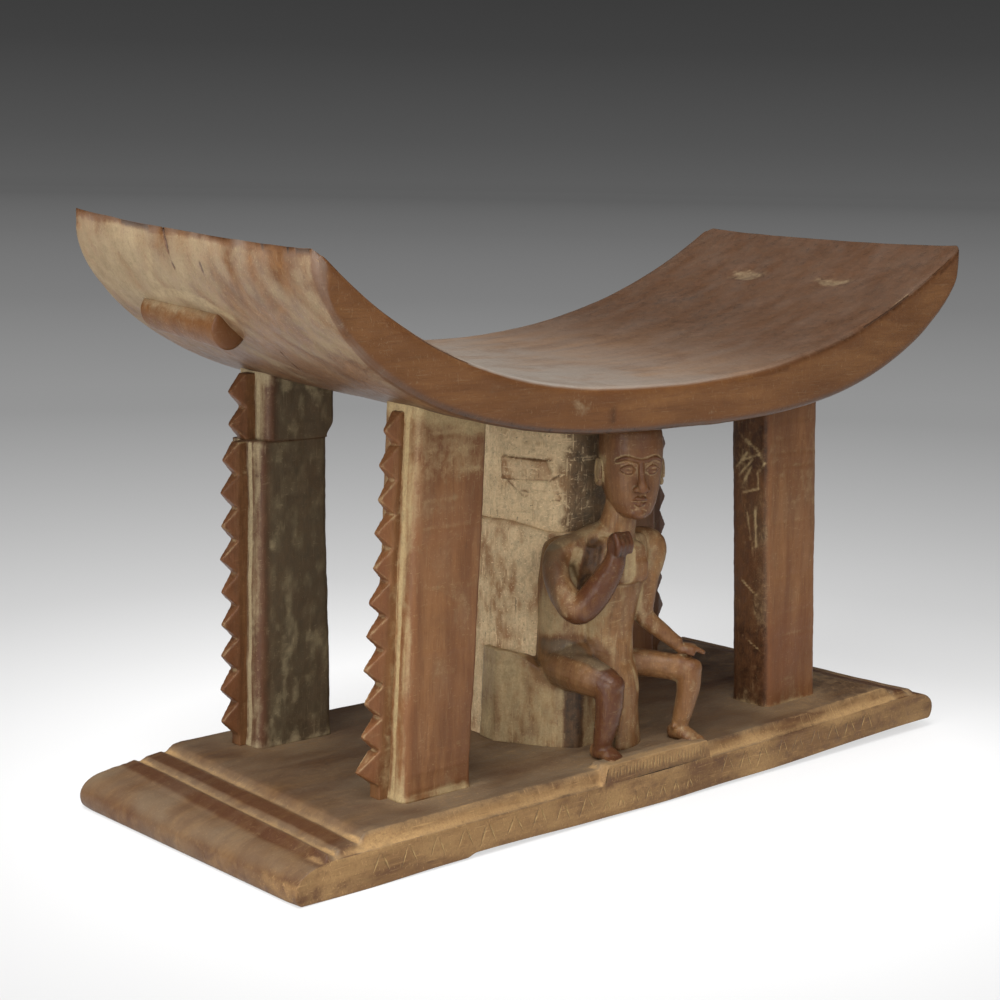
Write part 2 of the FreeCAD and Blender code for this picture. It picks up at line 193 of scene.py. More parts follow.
# Moves each vertex along its normal by a height in mm.
def carve(piece, heights):
    putPlaces(piece, placesOf(piece) + normalsOf(piece) * heights[:, None])


# How hollow the surface is at each vertex, in 1/mm: above zero in a recess, below on an edge.
def hollowness(piece, passes=3):
    points, normals = placesOf(piece), normalsOf(piece)
    count = len(points)
    flat = np.zeros(len(piece.data.edges) * 2, np.int32)
    piece.data.edges.foreach_get("vertices", flat)
    ends = flat.reshape(-1, 2)
    both = np.concatenate([ends, ends[:, ::-1]])
    neighbours = np.maximum(np.bincount(both[:, 0], minlength=count), 1)

    def average(values):
        return np.bincount(both[:, 0], weights=values[both[:, 1]], minlength=count) / neighbours

    middle = np.stack([average(points[:, axis]) for axis in range(3)], 1)
    lengths = np.linalg.norm(points[both[:, 0]] - points[both[:, 1]], axis=1)
    spacing = np.bincount(both[:, 0], weights=lengths, minlength=count) / neighbours
    bend = 4 * ((middle - points) * normals).sum(1) / np.maximum(spacing, 1e-6) ** 2
    for _ in range(passes):
        bend = (bend + average(bend)) / 2
    return bend


def paint(piece, name, values):
    layer = piece.data.attributes.new(name, "FLOAT", "POINT")
    layer.data.foreach_set("value", np.clip(values, 0, 1).astype(np.float32))


# Gives a piece its finish and its paint layers, and puts it in place of its solids.
def finishPiece(piece, material, nodes, clay, dark, worn, haze=0):
    for name, values in (("clay", clay), ("dark", dark), ("worn", worn), ("haze", haze + 0 * clay)):
        paint(piece, name, values)
    if not piece.data.materials:
        piece.data.materials.append(material)
    piece.data.polygons.foreach_set("use_smooth", [True] * len(piece.data.polygons))
    piece.data.update()
    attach(piece, "root")
    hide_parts(*nodes)
    print(piece.name, len(piece.data.polygons))


# Materials

def makeNode(tree, kind, inputs=None, **settings):
    made = tree.nodes.new(kind)
    for key, value in settings.items():
        setattr(made, key, value)
    for key, value in (inputs or {}).items():
        if isinstance(value, bpy.types.NodeSocket):
            tree.links.new(value, made.inputs[key])
        else:
            made.inputs[key].default_value = value
    return made


def linear(colour):
    return [((c / 255 + 0.055) / 1.055) ** 2.4 if c > 10 else c / 3295 for c in colour] + [1]


def mathNode(tree, operation, *values):
    return makeNode(tree, "ShaderNodeMath", dict(enumerate(values)), operation=operation).outputs[0]


def rangeNode(tree, value, low, high, toLow=0, toHigh=1, way="SMOOTHSTEP"):
    inputs = {0: value, 1: low, 2: high, 3: toLow, 4: toHigh}
    return makeNode(tree, "ShaderNodeMapRange", inputs, interpolation_type=way).outputs[0]


def noiseNode(tree, place, stretch, detail=4, roughness=0.55, distortion=0, shift=0):
    mapped = makeNode(tree, "ShaderNodeMapping", {"Vector": place, "Scale": stretch, "Location": (shift, shift, shift)})
    made = makeNode(tree, "ShaderNodeTexNoise", {"Vector": mapped.outputs[0], "Scale": 1, "Detail": detail,
                                                 "Roughness": roughness, "Distortion": distortion})
    return made.outputs["Fac"]


def mixColours(tree, factor, first, second):
    return makeNode(tree, "ShaderNodeMix", {0: factor, 6: first, 7: second}, data_type="RGBA").outputs[2]


def attributeNode(tree, name):
    return makeNode(tree, "ShaderNodeAttribute", attribute_name=name).outputs["Fac"]


# Each wood's colours as 8-bit sRGB, its roughness, how strong its fine scratches are and how its grain runs
woodLooks = {
    # The seat's haze colour is also the grey of the painted sheen on its top.
    "seatWood": {"wood": (108, 71, 40), "pale": (140, 98, 58), "deep": (60, 37, 22), "clay": (180, 158, 122),
                 "worn": (103, 65, 36), "haze": (160, 152, 142), "roughness": 0.44, "scores": 0.3, "upright": False},
    "baseWood": {"wood": (96, 64, 38), "pale": (132, 98, 60), "deep": (58, 36, 24), "clay": (188, 150, 100),
                 "worn": (86, 50, 30), "haze": (124, 106, 84), "roughness": 0.56, "scores": 0.4, "upright": False},
    "postWood": {"wood": (110, 72, 42), "pale": (140, 98, 60), "deep": (64, 40, 24), "clay": (196, 172, 126),
                 "worn": (118, 70, 40), "haze": (132, 120, 96), "roughness": 0.52, "scores": 0.2, "upright": True},
    # The back left post's darker wood: its greenish patina together with painted shade under the seat.
    "sootedWood": {"wood": (84, 58, 40), "pale": (112, 86, 60), "deep": (46, 36, 28), "clay": (178, 160, 124),
                   "worn": (96, 58, 38), "haze": (110, 100, 76), "roughness": 0.6, "scores": 0.3, "upright": True},
    "columnWood": {"wood": (160, 120, 80), "pale": (190, 156, 114), "deep": (70, 56, 42), "clay": (240, 214, 170),
                   "worn": (164, 112, 74), "haze": (126, 118, 100), "roughness": 0.66, "scores": 0.9, "upright": True},
    "figureWood": {"wood": (120, 80, 48), "pale": (154, 114, 72), "deep": (50, 35, 26), "clay": (196, 172, 128),
                   "worn": (86, 50, 30), "haze": (112, 102, 82), "roughness": 0.42, "scores": 0.4, "upright": True},
}
# Fine scratches: each set has its cells per metre on the three axes, its lean in degrees and its shift
scoreSets = (((70, 900, 900), (0, 0, 0), 23), ((850, 850, 75), (18, 10, 0), 29), ((820, 820, 90), (-38, -32, 0), 31))


# The wood's noises: cells per metre along and across the grain, detail, roughness, distortion and shift
woodNoises = {"figure": ((9, 75, 75), 6, 0.6, 0.6), "fibre": ((60, 900, 900), 3, 0.6, 0, 3),
              "patch": ((26, 30, 30), 5, 0.6, 0.4, 7), "broad": ((7, 9, 9), 3, 0.5, 0.3, 11),
              "mottle": ((150, 190, 190), 5, 0.7, 0.4, 17), "grit": ((700, 700, 700), 3, 0.6, 0, 19)}
# Fields of tone laid over the wood: a noise, where it begins and is full, its strength and its tone
woodFields = (("patch", 0.42, 0.72, 0.7, "wood"), ("broad", 0.5, 0.75, 0.45, "worn"), ("fibre", 0.5, 0.8, 0.4, "deep"),
              ("mottle", 0.55, 0.8, 0.35, "deep"))
bumpSizes = {"strength": 0.5, "height": 0.0007}


# A new material, with its tree, its shader and the place on the piece.
def newFinish(name):
    material = bpy.data.materials.new(name)
    material.use_nodes = True
    tree = material.node_tree
    place = makeNode(tree, "ShaderNodeTexCoord").outputs["Object"]
    return material, tree, tree.nodes["Principled BSDF"], place


# Worn hardwood with its grain along X, or up the upright members. The piece's layers say where clay lies,
# where it is darker (dark marks and grime, and painted shade), and where grey haze, painted sheen and polish lie.
def woodFinish(name):
    look = woodLooks[name]
    material, tree, shader, place = newFinish(name)
    if look["upright"]:
        place = makeNode(tree, "ShaderNodeMapping", {"Vector": place, "Rotation": (0, math.pi / 2, 0)}).outputs[0]
    noise = {key: noiseNode(tree, place, *values) for key, values in woodNoises.items()}
    fibre, patch, mottle = noise["fibre"], noise["patch"], noise["mottle"]

    def times(first, second):
        return mathNode(tree, "MULTIPLY", first, second)

    def over(mask, tone):
        return mixColours(tree, mask, wood, linear(look[tone]))

    wood = mixColours(tree, rangeNode(tree, noise["figure"], 0.34, 0.68), linear(look["wood"]), linear(look["pale"]))
    for key, low, high, share, tone in woodFields:
        wood = over(rangeNode(tree, noise[key], low, high, 0, share), tone)
    worn, clay = attributeNode(tree, "worn"), attributeNode(tree, "clay")
    wood = over(times(worn, rangeNode(tree, mottle, 0.25, 0.6, 0.55, 1)), "worn")
    # The dark layer: dark marks and grime, and painted shade where the pieces shade each other.
    wood = over(times(attributeNode(tree, "dark"), rangeNode(tree, mottle, 0.3, 0.66, 1, 0.5)), "deep")
    # The haze layer: grey haze, and a painted sheen on the seat's top.
    wood = over(times(attributeNode(tree, "haze"), rangeNode(tree, patch, 0.25, 0.6, 0.6, 1)), "haze")
    grip = mathNode(tree, "ADD", times(mottle, 0.6), times(patch, 0.4))
    level = mathNode(tree, "ADD", times(clay, 0.6), grip)
    clayMask = times(rangeNode(tree, level, 0.66, 1.08, 0, 0.9), rangeNode(tree, noise["grit"], 0.3, 0.62, 0.72, 1))
    clayTone = mixColours(tree, rangeNode(tree, mottle, 0.35, 0.7), linear(look["clay"]),
                          linear([value * 0.84 for value in look["clay"]]))
    wood = mixColours(tree, clayMask, wood, clayTone)
    relief = mathNode(tree, "ADD", times(fibre, 0.35), times(mottle, 0.8))
    grime = rangeNode(tree, clay, 0, 0.6, 0.2, 1)
    for stretch, lean, shift in scoreSets:
        mapped = makeNode(tree, "ShaderNodeMapping", {"Vector": place, "Rotation": [math.radians(a) for a in lean]})
        score = noiseNode(tree, mapped.outputs[0], stretch, 2, 0.5, 0.2, shift)
        scoreMask = rangeNode(tree, score, 0.63, 0.73, 0, look["scores"])
        wood = over(times(scoreMask, grime), "clay")
        wood = over(times(rangeNode(tree, score, 0.24, 0.33, look["scores"] * 0.7, 0), grime), "deep")
        relief = mathNode(tree, "SUBTRACT", relief, times(scoreMask, 0.45))
    tree.links.new(wood, shader.inputs["Base Color"])
    rough = rangeNode(tree, mottle, 0.3, 0.7, look["roughness"] - 0.07, look["roughness"] + 0.1)
    rough = mathNode(tree, "SUBTRACT", mathNode(tree, "ADD", rough, times(clayMask, 0.22)), times(worn, 0.12))
    tree.links.new(rough, shader.inputs["Roughness"])
    shader.inputs["Specular IOR Level"].default_value = 0.3
    bump = makeNode(tree, "ShaderNodeBump", {"Height": relief, "Strength": bumpSizes["strength"],
                                             "Distance": bumpSizes["height"]})
    tree.links.new(bump.outputs[0], shader.inputs["Normal"])
    return material


# The pale bottom of a knife line, or the black one of a crack.
def plainCut(name, colour, roughness):
    material, tree, shader, place = newFinish(name)
    speckle = noiseNode(tree, place, (400, 400, 400), 3)
    tone = mixColours(tree, rangeNode(tree, speckle, 0.35, 0.7), linear(colour), linear([c * 0.78 for c in colour]))
    tree.links.new(tone, shader.inputs["Base Color"])
    shader.inputs["Roughness"].default_value = roughness
    return material


finishes = {name: woodFinish(name) for name in woodLooks}
clayLine = plainCut("clayLine", (184, 152, 102), 0.8)
crackLine = plainCut("crackLine", (40, 26, 17), 0.9)
print("finishes", len(finishes))


# Geometry Nodes helpers

# A socket of a tree that can be used in sums.
class Rule:
    def __init__(self, tree, socket):
        self.tree = tree
        self.socket = socket

    def math(self, operation, *others):
        values = [other.socket if isinstance(other, Rule) else other for other in others]
        return Rule(self.tree, mathNode(self.tree, operation, self.socket, *values))

    def __add__(self, other):
        return self.math("ADD", other)

    def __sub__(self, other):
        return self.math("SUBTRACT", other)

    def __rsub__(self, other):
        return Rule(self.tree, mathNode(self.tree, "SUBTRACT", other, self.socket))

    def __mul__(self, other):
        return self.math("MULTIPLY", other)

    def __truediv__(self, other):
        return self.math("DIVIDE", other)

    def __rtruediv__(self, other):
        return Rule(self.tree, mathNode(self.tree, "DIVIDE", other, self.socket))

    def __pow__(self, other):
        return self.math("POWER", other)

    def size(self):
        return self.math("ABSOLUTE")


# A node tree with named inputs. Each input is (name, kind, default).
def newTree(name, inputs):
    tree = bpy.data.node_groups.new(name, "GeometryNodeTree")
    tree.interface.new_socket("Geometry", in_out="INPUT", socket_type="NodeSocketGeometry")
    tree.interface.new_socket("Geometry", in_out="OUTPUT", socket_type="NodeSocketGeometry")
    for label, kind, default in inputs:
        made = tree.interface.new_socket(label, in_out="INPUT", socket_type="NodeSocket" + kind)
        if default is not None:
            made.default_value = default
    entry = tree.nodes.new("NodeGroupInput")
    return tree, entry


def endTree(tree, geometry, material):
    realized = makeNode(tree, "GeometryNodeRealizeInstances", {0: geometry})
    coloured = makeNode(tree, "GeometryNodeSetMaterial", {"Geometry": realized.outputs[0], "Material": material})
    leave = tree.nodes.new("NodeGroupOutput")
    tree.links.new(coloured.outputs[0], leave.inputs[0])


# Runs a tree on a new object with the given inputs, and keeps the plain mesh.
def grow(name, tree, values):
    piece = newPiece(name, np.zeros((0, 3)), [])
    modifier = piece.modifiers.new("grow", "NODES")
    modifier.node_group = tree
    for item in tree.interface.items_tree:
        if item.in_out == "INPUT" and item.name in values:
            modifier[item.identifier] = values[item.name]
    return settle(piece)


# Seat

seatSizes = {
    "Length": 563.0, "Width": 236.0, "Tip Height": 358.0, "Dish Height": 274.5, "Underside": 246.0,
    "Back Rise": 10.5, "Horn Difference": 11.8, "Dish Offset": 15.0, "Tip Blunt": 4.5, "Left Power": 2.7,
    "Right Power": 2.35, "Belly Power": 2.8, "Belly Round": 1.65, "Edge Round": 4.5, "Horn Sag": 4.2,
}
# Points of the seat's block along, across and up
seatGrid = (290, 122, 15)


def seatTree():
    inputs = [(name, "Float", value) for name, value in seatSizes.items()] + [("Finish", "Material", None)]
    tree, entry = newTree("crescentSeat", inputs)
    size = {name: Rule(tree, entry.outputs[name]) for name in seatSizes}
    block = makeNode(tree, "GeometryNodeMeshCube", {"Size": (2, 2, 2), "Vertices X": seatGrid[0],
                                                    "Vertices Y": seatGrid[1], "Vertices Z": seatGrid[2]})
    place = makeNode(tree, "GeometryNodeInputPosition").outputs[0]
    split = makeNode(tree, "ShaderNodeSeparateXYZ", {0: place})
    along, across, up = [Rule(tree, split.outputs[axis]) for axis in range(3)]
    half = size["Length"] / 2
    reach = (along * (math.pi / 2)).math("SINE")
    # The horn's end is half a circle, seen from the side.
    rest = (1.0 - up * up * 0.97).math("SQRT")
    inset = size["Tip Blunt"] * (1.0 - rest)
    x = reach * (half - inset)
    y = (across * (math.pi / 2)).math("SINE") * size["Width"] / 2
    right = x.math("GREATER_THAN", 0.0)
    rightDish = (x + size["Dish Offset"]).math("GREATER_THAN", 0.0)
    tip = size["Tip Height"] - (right * 2 - 1) * size["Horn Difference"] / 2
    dishTip = size["Tip Height"] - (rightDish * 2 - 1) * size["Horn Difference"] / 2
    dishReach = half + (rightDish * 2 - 1) * size["Dish Offset"]
    power = rightDish * (size["Right Power"] - size["Left Power"]) + size["Left Power"]
    bow = ((x + size["Dish Offset"]).size() / dishReach) ** power
    top = size["Dish Height"] + (dishTip - size["Dish Height"]) * bow
    share = (x.size() / half).math("MINIMUM", 1.0)
    low = (1.0 - share ** size["Belly Power"]).math("MAXIMUM", 0.0)
    low = 1.0 - low ** (1.0 / size["Belly Round"])
    belly = size["Underside"] + (tip - size["Tip Blunt"] * 2 - size["Underside"]) * low
    middle = (top + belly) / 2
    thick = (top - belly) / 2
    # The long edges are worn round: a point moves in to the round's centre, then out by its radius.
    radius = size["Edge Round"].math("MINIMUM", thick * 0.85)
    level = up * thick
    edge = size["Width"] / 2 - radius
    innerY = y.math("MINIMUM", edge).math("MAXIMUM", edge * -1)
    core = thick - radius
    innerZ = level.math("MINIMUM", core).math("MAXIMUM", core * -1)
    offY, offZ = y - innerY, level - innerZ
    away = (offY * offY + offZ * offZ).math("SQRT").math("MAXIMUM", 0.001)
    roundY = innerY + offY / away * radius
    roundZ = middle + innerZ + offZ / away * radius
    sag = size["Horn Sag"] * share ** 5.0 * (1.0 - across * across)
    z = roundZ + size["Back Rise"] * roundY / size["Width"] - sag
    joined = makeNode(tree, "ShaderNodeCombineXYZ", {0: (x * mm).socket, 1: (roundY * mm).socket,
                                                     2: (z * mm).socket})
    bent = makeNode(tree, "GeometryNodeSetPosition", {"Geometry": block.outputs[0], "Position": joined.outputs[0]})
    endTree(tree, bent.outputs[0], entry.outputs["Finish"])
    return tree


def seatTop(x):
    side = np.where(x < -seatSizes["Dish Offset"], -1, 1)
    tip = seatSizes["Tip Height"] - side * seatSizes["Horn Difference"] / 2
    reach = seatSizes["Length"] / 2 + side * seatSizes["Dish Offset"]
    power = np.where(side < 0, seatSizes["Left Power"], seatSizes["Right Power"])
    return seatSizes["Dish Height"] + (tip - seatSizes["Dish Height"]) * (
        np.abs(x + seatSizes["Dish Offset"]) / reach) ** power


def seatBelly(x):
    tip = seatSizes["Tip Height"] - np.sign(x) * seatSizes["Horn Difference"] / 2
    share = np.clip(np.abs(x) / (seatSizes["Length"] / 2), 0, 1)
    high = tip - 2 * seatSizes["Tip Blunt"]
    low = 1 - (1 - share ** seatSizes["Belly Power"]) ** (1 / seatSizes["Belly Round"])
    return seatSizes["Underside"] + (high - seatSizes["Underside"]) * low


def seatLift(y):
    return seatSizes["Back Rise"] * y / seatSizes["Width"]


# A thin wedge that cuts a line from start to end, with its mouth turned to the given way.
def wedgePoints(start, end, way, width, depth):
    start, end, way = (np.array(value, float) for value in (start, end, way))
    way /= np.linalg.norm(way)
    line = (end - start) / np.linalg.norm(end - start)
    across = np.cross(line, way)
    across /= np.linalg.norm(across)
    middle = (start + end) / 2
    out = way * depth
    mouth = across * width
    # The cut's bottom slopes in from both ends to its deepest place.
    slopes = [place + (middle - place) * 0.12 - way * depth * 0.2 for place in (start, end)]
    points = [start + out, end + out, middle + mouth + out, middle - mouth + out, *slopes, middle - out]
    faces = [[2, 1, 3, 0], [4, 6, 2, 0], [6, 5, 1, 2], [5, 6, 3, 1], [6, 4, 0, 3]]
    return points, faces


# Cuts lines into a piece. Each line is (start, end, way, width, depth).
def cutLines(piece, lines, material):
    points, faces = [], []
    for line in lines:
        made, sides = wedgePoints(*line)
        faces += [[index + len(points) for index in side] for side in sides]
        points += made
    cutter = newPiece("cutter", np.array(points), faces)
    cutter.data.materials.append(material)
    settle(piece, ("BOOLEAN", {"object": cutter, "operation": "DIFFERENCE", "solver": "EXACT",
                               "material_mode": "TRANSFER"}))
    bpy.data.objects.remove(cutter)


# Gouges in the seat's right half: x and y of the middle, half sizes along x and y, and depth
seatGouges = ((231, 31, 12, 19, 2.4), (236, -46, 11, 18, 2.4), (204, 56, 6, 9, 0.6), (180, 55, 7, 16, 0.5))


# Rounds the plan's corners and lifts or draws in the horns as they were carved.
def settleHorns(points):
    x, y, z = points.T
    plan = 9.0
    half, wide = seatSizes["Length"] / 2, seatSizes["Width"] / 2
    a = np.clip((np.abs(x) - half + plan) / plan, 0, 1)
    b = np.clip((np.abs(y) - wide + plan) / plan, 0, 1)
    newX = np.where(a > 0, np.sign(x) * (half - plan + plan * a * np.sqrt(1 - b * b / 2)), x)
    newY = np.where(b > 0, np.sign(y) * (wide - plan + plan * b * np.sqrt(1 - a * a / 2)), y)
    newZ = z + (seatTop(newX) - seatTop(x)) * (a > 0)
    across = newY / wide
    left, right = ease(-newX, 150, 283), ease(newX, 150, 283)
    newZ += left * (-0.7 + 3.2 * across) + right * (2.3 - 2.3 * across)
    newX += left * (0.1 - 3.1 * across) + right * (5.0 - 3.0 * across)
    return np.stack([newX, newY, newZ], 1)


# A crack runs in from the left horn's end, and short scratches lie below it: (start, end, width, depth).
seatCracks = [((-281.8, 21.5, 361), (-281.8, 17.2, 349.7), 0.9, 1.6),
              ((-281.8, 17.2, 349.7), (-278.6, 14.2, 338), 0.8, 1.4),
              ((-278.6, 14.2, 338), (-271.5, 18.2, 325.2), 0.6, 0.8),
              ((-240.3, -33.7, 292.5), (-219.8, -23.7, 280.6), 0.7, 0.7),
              ((-279.9, -12.7, 342.1), (-278.2, -13.2, 336.8), 0.7, 0.7)]


# Pale clay lies over the left lug and in a few long scratches: (start, end, width).
seatSmears = [((-268, 50.6, 322.2), (-269.6, 28.2, 323), 4), ((-269.6, 28.2, 323), (-267.7, 0.7, 319.3), 4),
              ((-267.7, 0.7, 319.3), (-261.2, -16.2, 311.1), 4), ((-281.5, 36, 347), (-275.4, 43.2, 332.5), 2),
              ((-275.4, 43.2, 332.5), (-269, 39.7, 322.8), 2), ((-271.5, 18.2, 325.2), (-267.7, 0.7, 319.3), 2)]


def makeSeat():
    piece = grow("seat", seatTree(), dict(seatSizes, Finish=finishes["seatWood"]))
    piece.name = "carvedSeat"
    points = placesOf(piece)
    x, y, z = points.T
    heights = roughField(points, (38, 26, 26), 1) * 0.5 + roughField(points, (9, 7, 7), 5, 2) * 0.16
    top = z > (seatTop(x) + seatBelly(x)) / 2 + seatLift(y)
    for gx, gy, reachX, reachY, depth in seatGouges:
        dent = np.clip(1 - ((x - gx) / reachX) ** 2 - ((y - gy) / reachY) ** 2, 0, 1)
        heights -= np.where(top, dent * depth, 0)
    shaped = settleHorns(points)
    carve(piece, heights)
    putPlaces(piece, placesOf(piece) + shaped - points)
    refine(piece, seatCracks, 4.5, 4)
    points = placesOf(piece)
    cracks = np.zeros(len(points))
    for start, end, width, depth in seatCracks:
        cracks = np.maximum(cracks, stroke(points, start, end, width) * depth)
    carve(piece, -cracks)
    bend = hollowness(piece, 4)
    points = placesOf(piece)
    x, y, z = points.T
    normals = normalsOf(piece)
    top = normals[:, 2] > 0.1
    rough = roughField(points, (45, 30, 30), 21)
    streaks = roughField(points, (60, 9, 9), 25)
    smears = roughField(np.stack([x + 0.8 * y, y - 0.8 * x, z], 1), (8, 46, 20), 26)
    outward = normals[:, 0] * np.sign(x) * (np.abs(x) > 200)
    under = ease(np.maximum(-normals[:, 2], outward), 0.1, 0.5)
    front = ease(-normals[:, 1], 0.5, 0.9)
    # How far each place lies below the horn's crest, found across the seat
    cell = np.clip((y / seatSizes["Width"] + 0.5) * 40, 0, 40).astype(int)
    crest = np.zeros(41)
    horn = x < -250
    np.maximum.at(crest, cell[horn], z[horn])
    rim = np.where(horn, 1 - ease(crest[cell] - z + 1.2 * rough, 1.5, 5), ease(x, 268, 280))
    outer = under * ease(np.abs(x), 200, 275)
    arris = under * ease(-normals[:, 1], 0.1, 0.4)
    clay = 0.12 + 0.26 * outer + 0.1 * under * ease(-x, -100, 200) + (0.3 * rough + 0.2 * smears) * under - 0.9 * rim
    clay += 0.24 * outer * ease(y, -40, 110) - 0.45 * arris
    # Painted sheen: a grey reflection painted on the level top, strongest at the left and fading to the right.
    level = ease(normals[:, 2], 0.45, 0.85) * ease(x, -230, -170)
    haze = (level * (0.8 * (1 - ease(x, -110, 170)) + 0.07 * streaks + 0.03 + 0.07 * ease(x, 40, 160))
            + 0.04 * under * (1 - outer))
    haze += 0.3 * outer * (x < 0) * np.clip(0.6 + smears, 0, 1)
    for gx, gy, reachX, reachY, depth in seatGouges[:2]:
        ring = np.hypot((x - gx) / reachX, (y - gy) / reachY) + 0.25 * field(points, 6, 22)
        clay += np.where(top, 0.42 * (1 - ease(ring, 0.45, 1.05)), 0)
    for start, end, width in seatSmears:
        clay += 0.7 * stroke(points, start, end, width) * under
    # Painted shade: the underside is darker, most of all above the column and round the posts' tops, less towards the
    # horns.
    posts = under * (within(np.abs(x), 120, 200, 14) * (within(y, -90, -44, 8) + within(y, 54, 98, 8)))
    column = under * (1 - ease(np.hypot(x, y), 48, 66))
    dark = 0.3 * posts + 0.75 * column + 0.7 * under * (1 - ease(np.abs(x), 130, 285)) + 0.25 * np.clip(rough, 0, 1)
    dark += 0.6 * rim * (x < 0) + np.where(top, 0.74 * ease(x, 20, 150), 0) + 0.16 * front * ease(np.abs(x), 50, 150)
    knot = stroke(points, (-60, -118, 256), (-60, -118, 250), 4)
    streak = stroke(points, (190, 40, 309), (172, 66, 303), 5)
    dark += 0.9 * knot + 0.6 * streak + 1.5 * cracks + 0.3 * arris * (x < 0)
    clay -= cracks
    worn = np.clip(-bend * 5, 0, 0.6) * (1 - 0.8 * outer) + 0.35 * front + 0.08 + 0.2 * rim + 0.4 * arris
    worn += np.where(top, 0.8 * ease(x, 20, 150), 0)
    worn += 0.4 * stroke(points, (-66, -118, 262), (-56, -118, 248), 12)
    fleck = (stroke(points, (-101, -118, 246), (-100, -118, 242), 3)
             + stroke(points, (-92, -118, 262), (-80, -118, 259), 6))
    clay += 0.45 * fleck * (0.6 + 0.8 * field(points, 3, 27))
    clay += 0.5 * front * np.clip(roughField(points, (14, 5, 5), 28) - 0.3, 0, 1)
    clay += 0.5 * ease(x, 170, 230) * (1 - ease(np.abs(normals[:, 1] + 0.7), 0.1, 0.3)) * ease(normals[:, 2], 0.2, 0.6)
    finishPiece(piece, finishes["seatWood"], ["seat"], clay, dark, worn, haze)


makeSeat()
print("seat done")


# Lugs under the horns

lugSizes = {"length": 77, "radius": 11.6, "inset": 27, "offset": 33, "stand": 4.6, "rise": 4, "round": 2.2,
            "shoulder": 0.72, "turns": 56, "steps": 110}


def makeLug(side):
    x = side * (seatSizes["Length"] / 2 - lugSizes["inset"])
    front = lugSizes["offset"] - lugSizes["length"] / 2
    turn = np.linspace(0, 2 * math.pi, lugSizes["turns"], endpoint=False)
    rings = []
    for share in np.linspace(0, 1, lugSizes["steps"]):
        y = front + share * lugSizes["length"]
        fromEnd = min(share, 1 - share) * lugSizes["length"]
        blunt = math.sqrt(max(0.02, 1 - (1 - min(1, fromEnd / lugSizes["round"])) ** 2))
        swell = lugSizes["radius"] * (lugSizes["shoulder"] + (1 - lugSizes["shoulder"]) * blunt)
        z = seatBelly(np.array(x)) + seatLift(y) - lugSizes["stand"] + lugSizes["rise"] * share
        squared = 1 + 0.02 * np.cos(4 * turn + 0.5)
        rings.append(np.stack([x + side * 0.3 + swell * squared * np.cos(turn), np.full_like(turn, y),
                               z + swell * squared * np.sin(turn)], 1))
    name = "left" if side < 0 else "right"
    points, faces = skin(np.array(rings)[::-1])
    piece = newPiece("carved_lug_" + name, points, faces)
    points = placesOf(piece)
    carve(piece, roughField(points, (10, 14, 10), 31) * 0.4)
    bend = hollowness(piece, 2)
    points = placesOf(piece)
    ends = ease(-points[:, 1], -front - 3, -front - 0.5)
    # Painted light: the lug's top is painted paler than its lower side, which lies in shade.
    above = ease(normalsOf(piece)[:, 2], 0.1, 0.7)
    clay = 0.3 + 0.3 * roughField(points, 12, 33) - 0.45 * ends + 0.35 * above
    worn = 0.25 + 0.6 * ends + np.clip(-bend * 2, 0, 0.3)
    finishPiece(piece, finishes["seatWood"], ["seat_lug_" + name], clay, ends * 0.15, worn)


for side in (-1, 1):
    makeLug(side)


# Base

baseSizes = {"half": 288, "halfWidth": 112.5, "slab": 22, "nose": 19.5, "noseHeight": 9, "noseUnder": 4,
             "field": 31.5, "footing": 31, "cove": 4.5,
             "restLeft": -51, "restRight": 43, "restDepth": 13, "restHeight": 34.5}


# A short end's profile: how far in from the nose, and the level there
endProfile = ((4, 25.4), (7.5, 23.4), (9, 23.6), (12, 26.2), (23, 27.6), (25.5, 26.2), (27, 26.6), (31, 30.8),
              (37, 31.6))


# The bands of an end lie a little askew.
def endSkew(x, y):
    return np.where(x < 0, 14, 6) * (y + baseSizes["halfWidth"]) / (2 * baseSizes["halfWidth"])


# The base's upper surface over the floor
def baseTop(x, y):
    s = baseSizes
    edge = s["halfWidth"] - np.abs(y)
    cove = s["cove"] + 1.0 * field(np.stack([x, y * 0, y * 0], 1), (34, 1, 1), 41)
    sideShare = np.clip(edge / cove, 0, 1)
    sideRise = 1 - np.sqrt(np.clip(1 - sideShare ** 2, 0, 1))
    lip = 0.9 * np.exp(-((edge - cove - 3) / 3.5) ** 2)
    inside = s["half"] - s["nose"] - np.abs(x)
    skew = endSkew(x, y)
    first, level = endProfile[0]
    slope = s["slab"] - 1 + (level - s["slab"] + 1) * np.clip(inside / (first + skew), 0, 1)
    end = np.interp(inside - skew, *zip(*endProfile))
    end = np.where(inside < first + skew, slope, end)
    top = s["slab"] + (s["field"] - s["slab"]) * sideRise
    top = np.minimum(top + lip * (end > 29), end)
    rest = (x > s["restLeft"]) & (x < s["restRight"]) & (y < s["restDepth"] - s["halfWidth"])
    return np.where(rest, s["restHeight"], top)


def baseLines():
    ends = np.arange(-baseSizes["half"], -216, 1.1)
    rest = [baseSizes["restLeft"] - 0.35, baseSizes["restLeft"] + 0.35,
            baseSizes["restRight"] - 0.35, baseSizes["restRight"] + 0.35]
    xs = np.concatenate([ends, np.arange(-216, 216.1, 1.9), -ends[::-1], rest])
    edge = np.arange(-baseSizes["halfWidth"], -96, 1.1)
    back = baseSizes["restDepth"] - baseSizes["halfWidth"]
    ys = np.concatenate([edge, np.arange(-96, 96.1, 4.8), -edge[::-1], [back - 0.3, back + 0.3]])
    return np.unique(xs), np.unique(ys), np.linspace(0, 1, 15)


